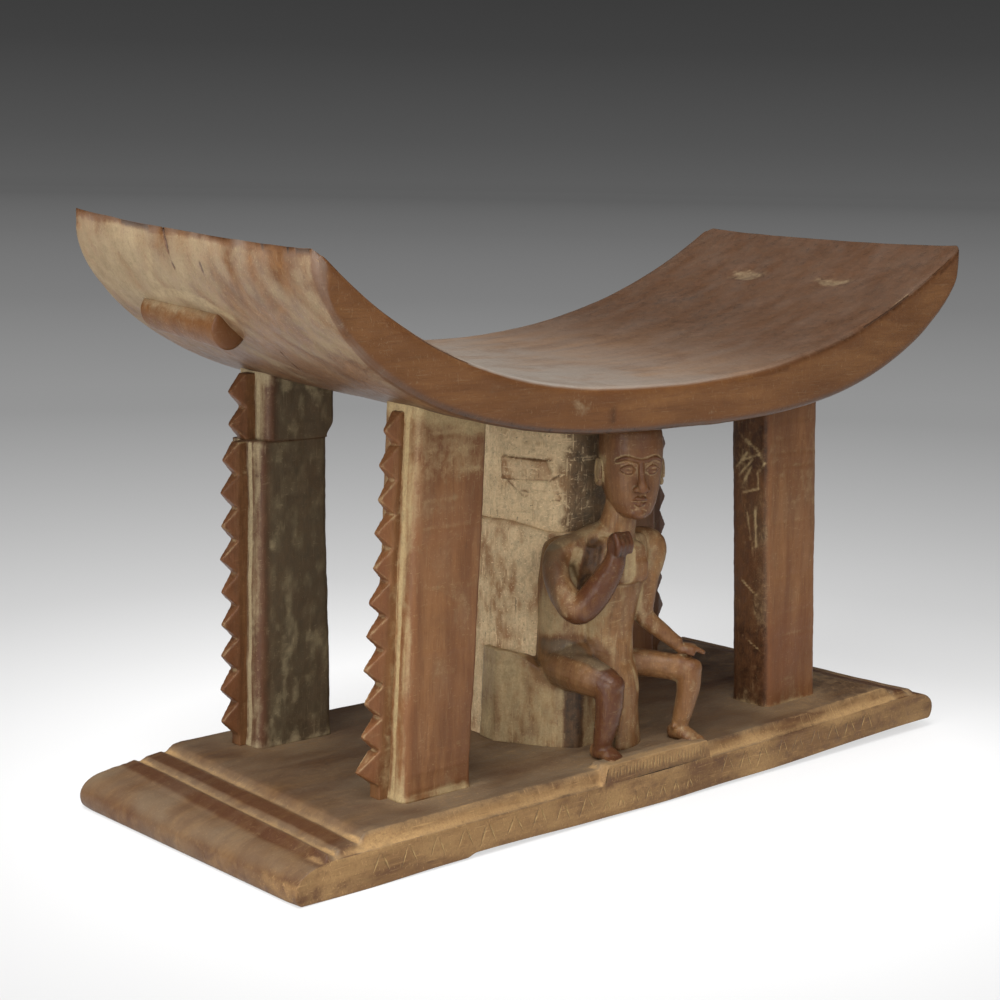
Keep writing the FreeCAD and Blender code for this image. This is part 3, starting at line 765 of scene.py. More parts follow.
# Strokes on the footrest's front, triangles along the base's front edge, and small ones on the footrest
hatchSizes = {"Count": 30, "Start": -47.0, "Pitch": 2.95, "Wander": 0.5, "Seed": 7}
chevronSizes = {"Left Count": 9, "Right Count": 9, "Start": -228.0, "Pitch": 20.0, "Wander": 1.4, "Seed": 3,
                "Right Start": 62, "Right Share": 0.92}
restChevrons = {"Count": 7, "Start": -50, "Pitch": 12.5}


# The right end has lifted off the floor.
def baseWarp(x):
    return 6 * ease(x, 40, 300)


def makeBase():
    s = baseSizes
    xs, ys, shares = baseLines()
    points, faces = lattice(xs / s["half"], ys, shares)
    along, y, share = points.T
    lower = s["noseHeight"] / s["slab"]
    below = share < lower
    underTurn = np.clip(share / lower, 0, 1) * math.pi / 2
    overTurn = np.clip((share - lower) / (1 - lower), 0, 1) * math.pi / 2
    reach = np.where(below, s["half"] - s["noseUnder"] + s["noseUnder"] * np.sin(underTurn),
                     s["half"] - s["nose"] + s["nose"] * np.cos(overTurn))
    level = np.where(below, s["noseHeight"] * (1 - np.cos(underTurn)),
                     s["noseHeight"] + (s["slab"] - s["noseHeight"]) * np.sin(overTurn))
    x = along * reach
    z = level * baseTop(x, y) / s["slab"]
    # The long edges of the underside are worn, and a chip steps up at the front left.
    front = ease(-y, s["halfWidth"] - 14, s["halfWidth"])
    foot = 1 - ease(z, 1, 9)
    chip = 2.0 * ease(x, -165, -158) * (1 - 0.6 * ease(x, -150, -60))
    wave = 0.7 + 0.7 * field(np.stack([x, x * 0, x * 0], 1), (60, 1, 1), 43)
    z = z + front * foot * (chip + wave) + ease(y, s["halfWidth"] - 10, s["halfWidth"]) * foot * wave
    piece = newPiece("carvedBase", np.stack([x, y, z], 1), faces)
    settle(piece, ("SMOOTH", {"factor": 0.5, "iterations": 2}))
    points = placesOf(piece)
    x, y, z = points.T
    upper = ease(z, 2, 8)
    heights = roughField(points, (46, 30, 30), 45) * 0.5 + roughField(points, (13, 13, 9), 47, 2) * 0.14
    heights += 0.5 * field(points, (120, 60, 40), 49)
    carve(piece, heights * upper)
    points = placesOf(piece)
    points[:, 2] = np.maximum(points[:, 2], 0) + baseWarp(points[:, 0])
    putPlaces(piece, points)
    return piece


# Knife lines on the long front edge, in groups whose strokes stay clear of each other.
def frontMarks():
    face = -baseSizes["halfWidth"]
    rng = np.random.default_rng(chevronSizes["Seed"])
    left, right, upright = [], [], []

    def line(start, end, width, depth):
        lift = float(baseWarp(np.array(start[0])))
        return ((start[0], face, start[1] + lift), (end[0], face, end[1] + lift), (0, -1, 0), width, depth)

    places = [chevronSizes["Start"] + chevronSizes["Pitch"] * index for index in range(chevronSizes["Left Count"])]
    places += [chevronSizes["Right Start"] + chevronSizes["Pitch"] * chevronSizes["Right Share"] * index
               for index in range(chevronSizes["Right Count"])]
    for place in places:
        middle = place + rng.uniform(-1, 1) * chevronSizes["Wander"]
        faint = 1 if place < 0 else 0.7
        for side, group in ((-1, left), (1, right)):
            high = (middle + side * 0.3, 20.3 + rng.uniform(-1, 1))
            low = (middle + side * (6.3 + rng.uniform(-0.8, 0.8)), 7 + rng.uniform(-2, 2))
            group.append(line(high, low, 0.9 * faint, 0.8 * faint))
    for index in range(restChevrons["Count"]):
        x = restChevrons["Start"] + index * restChevrons["Pitch"]
        left.append(line((x, 13), (x - 3, 5.5), 0.8, 0.7))
        right.append(line((x, 13), (x + 3.2, 5.5), 0.8, 0.7))
    for index in range(hatchSizes["Count"]):
        x = hatchSizes["Start"] + hatchSizes["Pitch"] * index + rng.uniform(-1, 1) * hatchSizes["Wander"]
        upright.append(line((x, 33 + rng.uniform(-1, 0.6)), (x + rng.uniform(-0.6, 0.6), 25.5 + rng.uniform(-2, 1)),
                            0.45, 0.5))
    return left, right, upright


base = makeBase()
base.data.materials.append(finishes["baseWood"])
for group in frontMarks():
    cutLines(base, group, clayLine)
restLine = ((-52, -112.5, 22.4), (46, -112.5, 22.8), (0, -1, 0), 0.5, 0.7)
cutLines(base, [restLine], crackLine)
print("base cut", len(base.data.polygons))


def finishBase():
    bend = hollowness(base, 3)
    points = placesOf(base)
    x, y = points[:, 0], points[:, 1]
    normals = normalsOf(base)
    up = ease(normals[:, 2], 0.3, 0.8)
    rough = roughField(points, (60, 36, 36), 51)
    streaks = roughField(points, (44, 8, 8), 55)
    inside = baseSizes["half"] - baseSizes["nose"] - np.abs(x) - endSkew(x, y)
    middle = up * ease(inside, 28, 36)
    grooves = up * (np.exp(-((inside - 8) / 2.6) ** 2) + np.exp(-((inside - 27) / 2.6) ** 2))
    crests = up * (within(inside, 14, 21, 3) + within(inside, -3, 2, 4))
    edge = baseSizes["halfWidth"] - np.abs(y)
    cove = middle * within(edge, 0, 5, 3)
    clay = 0.12 + 0.14 * rough + 2.6 * np.clip(bend - 0.02, 0, 0.2) + 0.12 * streaks + 0.42 * grooves
    halo = np.zeros(len(points))
    for px, py, reach in ((-160, -68, 34), (-160, 76, 34), (150, 76, 34), (156, -68, 34), (-10, -40, 75)):
        halo = np.maximum(halo, 1 - ease(np.hypot(x - px, y - py) * (1 + 0.2 * rough), reach * 0.75, reach * 1.5))
    clay += 0.22 * halo * up + 0.3 * cove + 0.15 * np.clip(-bend - 0.05, 0, 0.4) * up
    haze = up * (0.35 + 0.45 * rough + 0.3 * streaks) + 0.4 * halo * up + 0.35 * grooves - 0.4 * crests
    haze += 0.3 * ease(-x, 262, 280) * (0.6 + rough)
    dark = 0.75 * middle * (1 - 0.8 * halo) + 0.35 * crests + 0.25 * np.clip(rough, 0, 1) * up
    dark += 0.5 * ease(-normals[:, 2], 0.5, 0.9) - 0.35 * np.clip(clay - 0.3, 0, 0.6)
    face = (1 - up) * ease(-y, 60, 104)
    clay += face * (0.42 + 0.25 * streaks) + 0.3 * middle * ease(x, 120, 230)
    worn = np.clip(-bend * 3, 0, 0.5) * (1 - face) + 0.6 * crests + 0.3 * np.clip(streaks, 0, 1) * (1 - face)
    haze = haze * (1 - face)
    finishPiece(base, finishes["baseWood"], ["base_slab", "base_plateau", "footrest_block"],
                clay, dark, worn, haze)


finishBase()


# Column: a drum with a ledge, and a shaft with a carved knot

columnSizes = {"drum": 54, "drumTop": 171.5, "round": 3, "shaft": 49.5, "drumTurns": 350, "shaftTurns": 400,
               "drumFoot": 30.5, "flare": 2.2, "flareHeight": 4, "shaftFoot": 166, "intoSeat": 4}


def turnOf(points):
    return np.degrees(np.arctan2(points[:, 1], points[:, 0])) % 360


# The ledge falls towards the figure.
def ledgeLevel(turn):
    return columnSizes["drumTop"] + 3.4 - 6.4 * within(turn, 240, 300, 48)


def makeDrum():
    turns = np.linspace(0, 2 * math.pi, columnSizes["drumTurns"], endpoint=False)
    degrees = np.degrees(turns)
    top = ledgeLevel(degrees)
    radius, corner = columnSizes["drum"], columnSizes["round"]
    rings = []

    def ring(reach, level):
        rings.append(np.stack([reach * np.cos(turns), reach * np.sin(turns), level + 0 * turns], 1))

    for share in np.linspace(0, 1, 140):
        level = columnSizes["drumFoot"] + share * (top - corner - columnSizes["drumFoot"])
        ring(radius + columnSizes["flare"] * np.exp(-(level - baseSizes["footing"]) / columnSizes["flareHeight"]),
             level)
    for angle in np.linspace(0.2, math.pi / 2, 5):
        ring(radius - corner + corner * math.cos(angle), top - corner + corner * math.sin(angle))
    for reach in (49.5, 48.5, 46):
        ring(np.full_like(turns, reach), top)
    points, faces = skin(np.array(rings))
    piece = newPiece("carvedDrum", points, faces)
    points = placesOf(piece)
    x, y, z = points.T
    flat = np.stack([turnOf(points) * 0.94, z, z * 0], 1)
    heights = roughField(points, (16, 16, 40), 61) * 0.8
    whittle = field(flat, (5.5, 15, 1), 63)
    heights += 0.34 * np.abs(whittle) - 0.15 + 0.2 * roughField(flat, (3.5, 8, 1), 65, 2)
    cut = ease(flatStroke(flat, 174.5, 44, 174, 116, 1.5), 0, 0.8)
    heights -= 0.9 * cut
    carve(piece, heights * ease(np.hypot(x, y), 47, 50))
    bend = hollowness(piece, 2)
    points = placesOf(piece)
    x, y, z = points.T
    turn = turnOf(points)
    rough = roughField(points, (14, 14, 26), 67)
    armShade = within(turn, 229, 238, 4) * within(z, 98, 158, 14)
    patches = roughField(points, (7, 7, 11), 69)
    clay = 0.8 + 0.45 * rough + 0.5 * patches + 1.6 * np.clip(bend, -0.1, 0.2) - 0.75 * armShade - 0.5 * cut
    clay -= 0.25 * within(turn, 300, 420, 60)
    dark = 0.95 * armShade + 0.25 * np.clip(-rough, 0, 1) + 0.3 * within(turn, 0, 150, 40)
    # Painted shade on the ledge's top, in the corner at the foot of the shaft.
    dark += 0.5 * (np.hypot(x, y) < 50.5)
    dark += 0.8 * cut
    worn = 0.7 * np.clip(-patches, 0, 1) + 0.25 * ease(-z, -60, -35)
    finishPiece(piece, finishes["columnWood"], ["column_lower"], clay, dark, worn)


# Grooves of the knot, laid flat: across and up at the start, then at the end, and the width
knotGrooves = ((-17, 216.6, 16, 214.2, 1.5), (-8, 180.8, 3.4, 180.4, 1.1), (-16.5, 203.5, -2, 191.4, 1.6),
               (14.5, 200.5, 22.5, 205, 1.2), (5, 188.4, 22, 188.8, 0.9), (5, 176, 5, 188.4, 0.9),
               (-3.5, 194.2, 13.5, 194.6, 1.0), (-16, 201, 15, 201.4, 1.0))
knotSizes = {"middle": 210, "scale": math.pi * 49.5 / 180, "rise": 1.3, "groove": 0.9,
             "scratches": 190}


def makeShaft():
    turns = np.linspace(0, 2 * math.pi, columnSizes["shaftTurns"], endpoint=False)
    radius = columnSizes["shaft"]
    rings = []
    for share in np.linspace(0, 1, 116):
        x, y = radius * np.cos(turns), radius * np.sin(turns)
        top = seatBelly(x * 0) + seatLift(y) + columnSizes["intoSeat"]
        rings.append(np.stack([x, y, columnSizes["shaftFoot"] + share * (top - columnSizes["shaftFoot"])], 1))
    points, faces = skin(np.array(rings))
    piece = newPiece("carvedShaft", points, faces)
    points = placesOf(piece)
    x, y, z = points.T
    # The knot is laid flat: across from its middle along the surface, and up.
    across = (turnOf(points) - knotSizes["middle"]) * knotSizes["scale"]
    flat = np.stack([across, z, z * 0], 1)

    def band(*line):
        return ease(flatStroke(flat, *line), 0, 0.35)

    low, high = 201.8 + 0.02 * across, 215 - 0.14 * np.clip(across - 6, 0, 20)
    box = within(across, -16.5, 17 - np.abs(z - 206) * 0.5, 0.9) * ease(z, low - 0.9, low)
    box *= 1 - ease(z, high, high + 0.9)
    ribbons = np.maximum(0.6 * band(-14, 204.5, 0, 192.5, 3.4), 0.7 * band(17, 203, 21.5, 189.5, 2.4))
    panel = within(across, -3, 13, 0.5) * within(z, 195, 200.5, 0.5)
    groove = np.clip(sum(flatStroke(flat, *line) for line in knotGrooves), 0, 1)
    raised = np.maximum(box, ribbons)
    scratch = np.zeros(len(points))
    rng = np.random.default_rng(71)
    for _ in range(knotSizes["scratches"]):
        start = np.array([rng.uniform(-44, 48), rng.uniform(170, 236), 0])
        length = rng.uniform(4, 13)
        lean = rng.choice((0.0, 0.0, 1.57, rng.uniform(-1, 1)))
        way = np.array([math.sin(lean), math.cos(lean), 0]) * length
        near = (np.abs(flat - start - way / 2).max(1)) < 9
        scratch[near] = np.maximum(scratch[near], stroke(flat[near], start, start + way, 0.8))
    scratch *= 1 - 0.6 * raised
    heights = raised * knotSizes["rise"] - groove * knotSizes["groove"] - 0.5 * scratch + 0.35 * panel
    heights += roughField(points, (14, 14, 22), 73) * 0.6 + 0.18 * roughField(flat, (3.5, 7, 1), 75, 2)
    carve(piece, heights)
    bend = hollowness(piece, 2)
    points = placesOf(piece)
    turn = turnOf(points)
    rough = roughField(points, (12, 12, 18), 77)
    shade = within(turn + 9 * roughField(points, (9, 9, 12), 78), 251, 290, 19)
    # Painted shade: the shaft is darker and less pale just under the seat.
    under = ease(z, 228, 246)
    patches = roughField(points, (9, 9, 5), 79)
    clay = 0.95 + 0.5 * rough + 0.4 * patches + 1.2 * np.clip(bend, 0, 0.2) - 0.3 * raised - 0.95 * shade
    clay -= 0.2 * within(turn, 300, 520, 50) + 0.6 * groove + 0.3 * under - 0.3 * scratch
    dark = 0.85 * shade + 0.7 * groove + 0.25 * under + 0.3 * within(turn, 20, 150, 40) + 0.25 * np.clip(-patches, 0, 1)
    worn = raised * (0.35 + 0.5 * patches) + 0.5 * np.clip(patches - 0.25, 0, 1)
    haze = 0.22 * shade * (1 + rough)
    finishPiece(piece, finishes["columnWood"], ["column_upper", "column_relief"], clay, dark, worn,
                haze)


makeDrum()
makeShaft()


# Posts

postSizes = {"width": 53, "depth": 33, "corner": 5, "foot": 31.5, "rise": 214.5, "around": 150, "step": 1.35,
             "head": 262, "intoSeat": 3.5, "flare": 0.035, "flareHeight": 4, "spread": 5}
# Each post: its side, the y of its front, how far out its outer face is at the foot, how far that leans in,
# and the levels it begins and ends at. Without an end it runs up into the seat.
postPlaces = {
    "front_left": {"side": -1, "y": -83, "outer": 189, "lean": 9, "low": baseSizes["footing"], "high": None},
    "front_right": {"side": 1, "y": -83, "outer": 189, "lean": 12, "low": baseSizes["footing"], "high": None},
    "back_left": {"side": -1, "y": 60, "outer": 189, "lean": 1, "low": baseSizes["footing"], "high": 227},
    "back_left_cap": {"side": -1, "y": 60, "outer": 183, "lean": 1, "low": 227, "high": None},
    "back_right": {"side": 1, "y": 60, "outer": 176, "lean": 6, "low": baseSizes["footing"], "high": None},
}


# Points evenly round a rectangle with rounded corners, about its middle.
def roundedSection(width, depth, corner, count):
    turn = np.linspace(0, math.pi / 2, 9)
    outline = []
    for index, (sx, sy) in enumerate(((1, 1), (-1, 1), (-1, -1), (1, -1))):
        angle = turn + index * math.pi / 2
        outline.append(np.stack([sx * (width / 2 - corner) + corner * np.cos(angle),
                                 sy * (depth / 2 - corner) + corner * np.sin(angle)], 1))
    outline = np.concatenate(outline + [outline[0][:1]])
    walked = np.concatenate([[0], np.cumsum(np.linalg.norm(np.diff(outline, axis=0), axis=1))])
    even = np.linspace(0, walked[-1], count, endpoint=False)
    return np.stack([np.interp(even, walked, outline[:, axis]) for axis in (0, 1)], 1)


def postShift(place, z):
    return place["side"] * (place["outer"] - place["lean"] * (z - postSizes["foot"]) / postSizes["rise"])


# Pale scratches on the front right post's inner face: y and z where each begins, then where it ends
postScratches = ((-62, 205, -76, 210), (-76, 210, -80, 204), (-80, 204, -74, 197), (-74, 197, -75, 186),
                 (-61, 182, -75, 186), (-56, 200, -65, 210), (-58, 194, -70, 206), (-61, 188, -68, 200),
                 (-58, 222, -66, 216), (-64, 219, -76, 211), (-65, 168, -70, 139), (-72, 171, -73, 146),
                 (-60, 121, -73, 112), (-61, 81, -80, 71), (-86, 232, -90, 228))


def makePost(name, place):
    section = roundedSection(postSizes["width"], postSizes["depth"], postSizes["corner"], postSizes["around"])
    middle = place["side"] * postSizes["width"] / 2
    broken = name == "back_left"
    cap = name == "back_left_cap"
    rise = (place["high"] or postSizes["head"]) - place["low"]
    rings = []
    steps = int(rise / postSizes["step"])
    for share in np.linspace(0, 1, steps):
        z = place["low"] + share * rise
        x = postShift(place, z) - middle + section[:, 0]
        y = place["y"] + postSizes["depth"] / 2 + section[:, 1]
        if place["high"] is None:
            top = seatBelly(x) + seatLift(y) + postSizes["intoSeat"]
            z = place["low"] + share * (top - place["low"])
        rings.append(np.stack([x, y, z + 0 * x], 1))
    rings = np.array(rings)
    fromFoot = rings[:, :, 2:] - baseSizes["footing"]
    spread = 1 + postSizes["flare"] * np.exp(-fromFoot / postSizes["flareHeight"])
    centre = rings.mean(1, keepdims=True)
    rings[:, :, :2] = centre[:, :, :2] + (rings[:, :, :2] - centre[:, :, :2]) * spread
    points, faces = skin(rings)
    # The back left post grows wider inwards below its mend, and the cap's lower inner corner is worn off.
    inner = place["side"] * (postShift(place, points[:, 2]) - points[:, 0]) / postSizes["width"]
    if broken:
        points[:, 0] -= place["side"] * postSizes["spread"] * np.clip(inner, 0, 1) * (1 - ease(points[:, 2], 31, 200))
    if cap:
        points[:, 0] += place["side"] * postSizes["spread"] * ease(inner, 0.8, 1) * (1 - ease(points[:, 2], 227, 237))
    piece = newPiece("carved_post_" + name, points, faces)
    points = placesOf(piece)
    x, y, z = points.T
    seed = 80 + list(postPlaces).index(name) * 7
    heights = roughField(points, (34, 34, 60), seed) * 0.9 + roughField(points, (11, 11, 20), seed + 1, 2) * 0.25
    heights += 0.18 * field(points, (40, 3.2, 3.2), seed + 2)
    if broken or cap:
        heights += roughField(points, (9, 9, 14), seed + 3, 2) * 0.45
    ends = within(z, place["low"] + 1, (place["high"] or 300) - 1, 1)
    carve(piece, heights * ends)
    bend = hollowness(piece, 2)
    points = placesOf(piece)
    x, y, z = points.T
    normals = normalsOf(piece)
    side = place["side"]
    rough = roughField(points, (16, 16, 34), seed + 4)
    outerFace = ease(side * normals[:, 0], 0.5, 0.9)
    frontFace = ease(-normals[:, 1], 0.5, 0.9)
    away = postShift(place, z) - x
    comb = place["y"] + 14
    root = outerFace * (within(y, comb - 4.4, comb - 3, 1) + within(y, comb + 8.7, comb + 9.9, 0.9))
    streaks = roughField(points, (5, 3, 40), seed + 5)
    foot = 1 - ease(z, 32, 38)
    head = ease(z, seatBelly(x) + seatLift(y) - 12, seatBelly(x) + seatLift(y))
    clay = 0.22 + 0.26 * rough + outerFace * (0.26 + 0.5 * streaks) + 0.55 * root + 0.4 * foot
    clay += 0.4 * head * (1 - frontFace * 0.5)
    clay += 2 * np.clip(bend, 0, 0.2)
    # Painted shade: each post's inner face, turned towards the middle, is painted darker.
    dark = 0.25 * np.clip(-rough, 0, 1) + 0.5 * ease(side * -normals[:, 0], 0.5, 0.9)
    worn = 0.2 + 0.3 * frontFace * np.clip(rough, 0, 1) + np.clip(-bend, 0, 0.25)
    haze = 0.25 * np.clip(rough, 0, 1)
    # The back left post's front face is painted darker: painted shade under the seat, broken by greenish patina
    # patches, lighter and more worn along its outer edge.
    if broken or cap:
        arris = ease(-normals[:, 1], 0.1, 0.3) * ease(side * normals[:, 0], 0.2, 0.5)
        patches = np.clip(roughField(points, (4.6, 4.6, 9), seed + 6, 4) * 1.6 + 0.25, 0, 1)
        strip = 1 - ease(side * away, 3, 10)
        face = frontFace * (1 - arris)
        clay += 0.3 * root - 0.2 * face + 0.42 * face * patches
        haze = face * (0.4 + 0.45 * patches) * (1 - strip)
        dark += face * (0.75 - 0.55 * patches) * (1 - 0.5 * strip) + 0.12 * arris
        worn = worn * 0.6 + 0.4 * arris + 0.4 * face * strip
    if name == "front_right":
        # Painted shade on the inner face, strongest under the seat and near the foot.
        inward = ease(side * -normals[:, 0], 0.5, 0.9)
        dark += inward * (0.2 + 0.35 * rough + 0.5 * within(z, 206, 300, 14) + 0.4 * within(z, 0, 80, 24))
        clay += 0.2 * inward * np.clip(streaks, 0, 1)
        gaps = np.clip(0.45 + roughField(points, (4, 4, 6), seed + 8), 0, 1)
        for scratch in postScratches:
            mark = flatStroke(np.stack([y, z, 0 * z], 1), *scratch, 1.5) * gaps
            clay += 0.75 * inward * mark
            dark -= 0.6 * inward * mark
    if name == "front_left":
        clay += 0.35 * head * frontFace + 0.25 * within(z, 225, 260, 10)
    material = finishes["sootedWood" if broken or cap else "postWood"]
    finishPiece(piece, material, ["post_" + name], clay, dark, worn, haze)


for name, place in postPlaces.items():
    makePost(name, place)


# Combs: one tooth is repeated up a line, with a little chance in its turn and size

# Each comb: how much it narrows, its lean, how deep its root is, how far a tooth stands out, the level of the
# first tooth, and the teeth's pitch and count
combSizes = {
    "front_left": {"taper": 0.24, "lean": 14, "root": 8, "tooth": 12, "first": 40.5, "pitch": 19.8, "count": 11},
    "front_right": {"taper": 0.1, "lean": 12, "root": 3.5, "tooth": 7, "first": 39, "pitch": 19.75, "count": 11},
    "back_left": {"taper": 0.05, "lean": 1, "root": 6, "tooth": 10.5, "first": 39, "pitch": 20.8, "count": 9},
    "back_left_cap": {"taper": 0.0, "lean": 1, "root": 6, "tooth": 10.5, "first": 227, "pitch": 20.8, "count": 2},
    "back_right": {"taper": 0.05, "lean": 6, "root": 17.5, "tooth": 9, "first": 40.3, "pitch": 20.8, "count": 11},
}
toothShape = {"thickness": 9, "tipShare": 0.47, "tipThickness": 0.34, "setback": 14, "tipBlunt": 1.1}


def combTree():
    tree, entry = newTree("combTeeth", [
        ("Tooth", "Object", None), ("Count", "Int", 11), ("Start", "Vector", (0, 0, 0)),
        ("Step", "Vector", (0, 0, 0.02)), ("Turn Chance", "Float", 0.03), ("Size Chance", "Float", 0.05),
        ("Taper", "Float", 0.0), ("Seed", "Int", 1), ("Finish", "Material", None)])
    line = makeNode(tree, "GeometryNodeMeshLine", {"Count": entry.outputs["Count"],
                                                   "Start Location": entry.outputs["Start"],
                                                   "Offset": entry.outputs["Step"]}, mode="OFFSET")
    tooth = makeNode(tree, "GeometryNodeObjectInfo", {"Object": entry.outputs["Tooth"]})

    def chance(socket, shift):
        seed = mathNode(tree, "ADD", entry.outputs["Seed"], float(shift))
        made = makeNode(tree, "FunctionNodeRandomValue", {2: mathNode(tree, "MULTIPLY", socket, -1.0), 3: socket,
                                                          "Seed": seed}, data_type="FLOAT")
        return made.outputs[1]

    turn = makeNode(tree, "ShaderNodeCombineXYZ", {1: chance(entry.outputs["Turn Chance"], 0),
                                                   2: chance(entry.outputs["Turn Chance"], 5)})
    index = makeNode(tree, "GeometryNodeInputIndex").outputs[0]
    share = mathNode(tree, "DIVIDE", index, entry.outputs["Count"])
    even = mathNode(tree, "ADD", 1.0, chance(entry.outputs["Size Chance"], 9))
    reach = mathNode(tree, "SUBTRACT", even, mathNode(tree, "MULTIPLY", share, entry.outputs["Taper"]))
    size = makeNode(tree, "ShaderNodeCombineXYZ", {0: reach, 1: even, 2: 1.0})
    placed = makeNode(tree, "GeometryNodeInstanceOnPoints", {
        "Points": line.outputs[0], "Instance": tooth.outputs["Geometry"], "Rotation": turn.outputs[0],
        "Scale": size.outputs[0]})
    endTree(tree, placed.outputs[0], entry.outputs["Finish"])
    return tree


def toothPiece(side, comb):
    root, reach, pitch = comb["root"] + 2.5, comb["tooth"], comb["pitch"]
    tip = toothShape["tipShare"] * pitch
    blunt = toothShape["tipBlunt"]
    outline = [(-root, -0.4), (0, 0), (reach - blunt, tip - blunt * 1.1), (reach, tip),
               (reach - blunt, tip + blunt * 1.3), (0, pitch), (-root, pitch + 0.4)]
    half = toothShape["thickness"] / 2
    points, count = [], len(outline)
    for face in (-1, 1):
        for x, z in outline:
            narrow = 1 - (1 - toothShape["tipThickness"]) * max(0, x) / reach
            points.append((side * (x + comb["root"]), face * half * narrow, z))
    order = list(range(count))
    faces = [order, [count + index for index in reversed(order)]]
    faces += [[index, index + count, (index + 1) % count + count, (index + 1) % count] for index in order]
    if side > 0:
        faces = [face[::-1] for face in faces]
    return newPiece("tooth", points, faces)


combRule = combTree()


def makeComb(name, comb):
    place = postPlaces[name]
    side = place["side"]
    tooth = toothPiece(side, comb)
    slope = -side * comb["lean"] / postSizes["rise"]
    rise = comb["first"] - postSizes["foot"]
    start = (side * place["outer"] + slope * rise, place["y"] + toothShape["setback"] + toothShape["thickness"] / 2,
             comb["first"])
    step = (slope * comb["pitch"], 0, comb["pitch"])
    piece = grow("carved_comb_" + name, combRule, {
        "Tooth": tooth, "Count": comb["count"], "Start": [value * mm for value in start],
        "Step": [value * mm for value in step], "Taper": comb["taper"], "Seed": len(name) * 3,
        "Finish": finishes["postWood"]})
    bpy.data.objects.remove(tooth)
    # A web carries the lowest tooth down to the base.
    if comb["first"] < 60:
        low, high = baseSizes["footing"], comb["first"] + 1
        centre = (start[0] + side * (comb["root"] / 2 - 1.5), start[1], (low + high) / 2)
        half = (comb["root"] / 2 + 1.2, toothShape["thickness"] / 2, (high - low) / 2)
        joinShapes(piece, [boxShape(centre, half)])
    settle(piece, ("REMESH", {"mode": "VOXEL", "voxel_size": 0.75 * mm}),
           ("SMOOTH", {"factor": 0.5, "iterations": 3}))
    points = placesOf(piece)
    seed = 140 + len(name)
    carve(piece, roughField(points, (8, 6, 8), seed) * 0.35 + 0.12 * roughField(points, (2.6, 2.6, 5), seed + 1, 2))
    points = placesOf(piece)
    top = seatBelly(points[:, 0]) + seatLift(points[:, 1]) + 3
    if comb["first"] < 200 and place["high"] is not None:
        top = np.minimum(top, place["high"])
    points[:, 2] = np.minimum(points[:, 2], top)
    putPlaces(piece, points)
    bend = hollowness(piece, 3)
    normals = normalsOf(piece)
    rough = roughField(points, (7, 7, 9), seed + 2)
    reach = side * (points[:, 0] - start[0] - slope * (points[:, 2] - start[2])) - comb["root"]
    upper = ease(normals[:, 2], 0.2, 0.7)
    clay = 0.12 + 0.16 * upper + 0.25 * (1 - ease(reach, -5, 1)) + 0.3 * rough + 1.2 * np.clip(bend, 0, 0.3)
    # Painted shade: the back combs, under the seat, are painted darker and less pale.
    clay += 0.5 * np.clip(-bend - 0.2, 0, 0.5) - (0.15 if "back" in name else 0)
    dark = 0.15 + 0.3 * np.clip(rough, 0, 1) + (0.35 if "back" in name else 0)
    worn = 0.6 * ease(reach, -2, 4)
    piece.data.materials.clear()
    finishPiece(piece, finishes["postWood"], ["comb_" + name], clay, dark, worn)


# Simple closed shapes, later fused into one carved skin

def boxShape(centre, half):
    centre, half = np.array(centre, float), np.array(half, float)
    points, faces = lattice(np.array([-1.0, 1.0]), np.array([-1.0, 1.0]), np.array([-1.0, 1.0]))
    return points * half + centre, faces


def joinShapes(piece, shapes):
    old = piece.data
    points = [placesOf(piece)]
    faces = [list(polygon.vertices) for polygon in old.polygons]
    total = len(points[0])
    for more, sides in shapes:
        points.append(np.array(more))
        faces += [[index + total for index in side] for side in sides]
        total += len(more)
    mesh = bpy.data.meshes.new(piece.name)
    mesh.from_pydata((np.concatenate(points) * mm).tolist(), [], faces)
    mesh.update()
    piece.data = mesh
    bpy.data.meshes.remove(old)


for name, comb in combSizes.items():
    makeComb(name, comb)
print("posts and combs done")


# Figure: simple closed forms, fused and cut back as one carving

# How far a limb's rounded end stands out, as a share of its half width
limbBlunt = 0.55


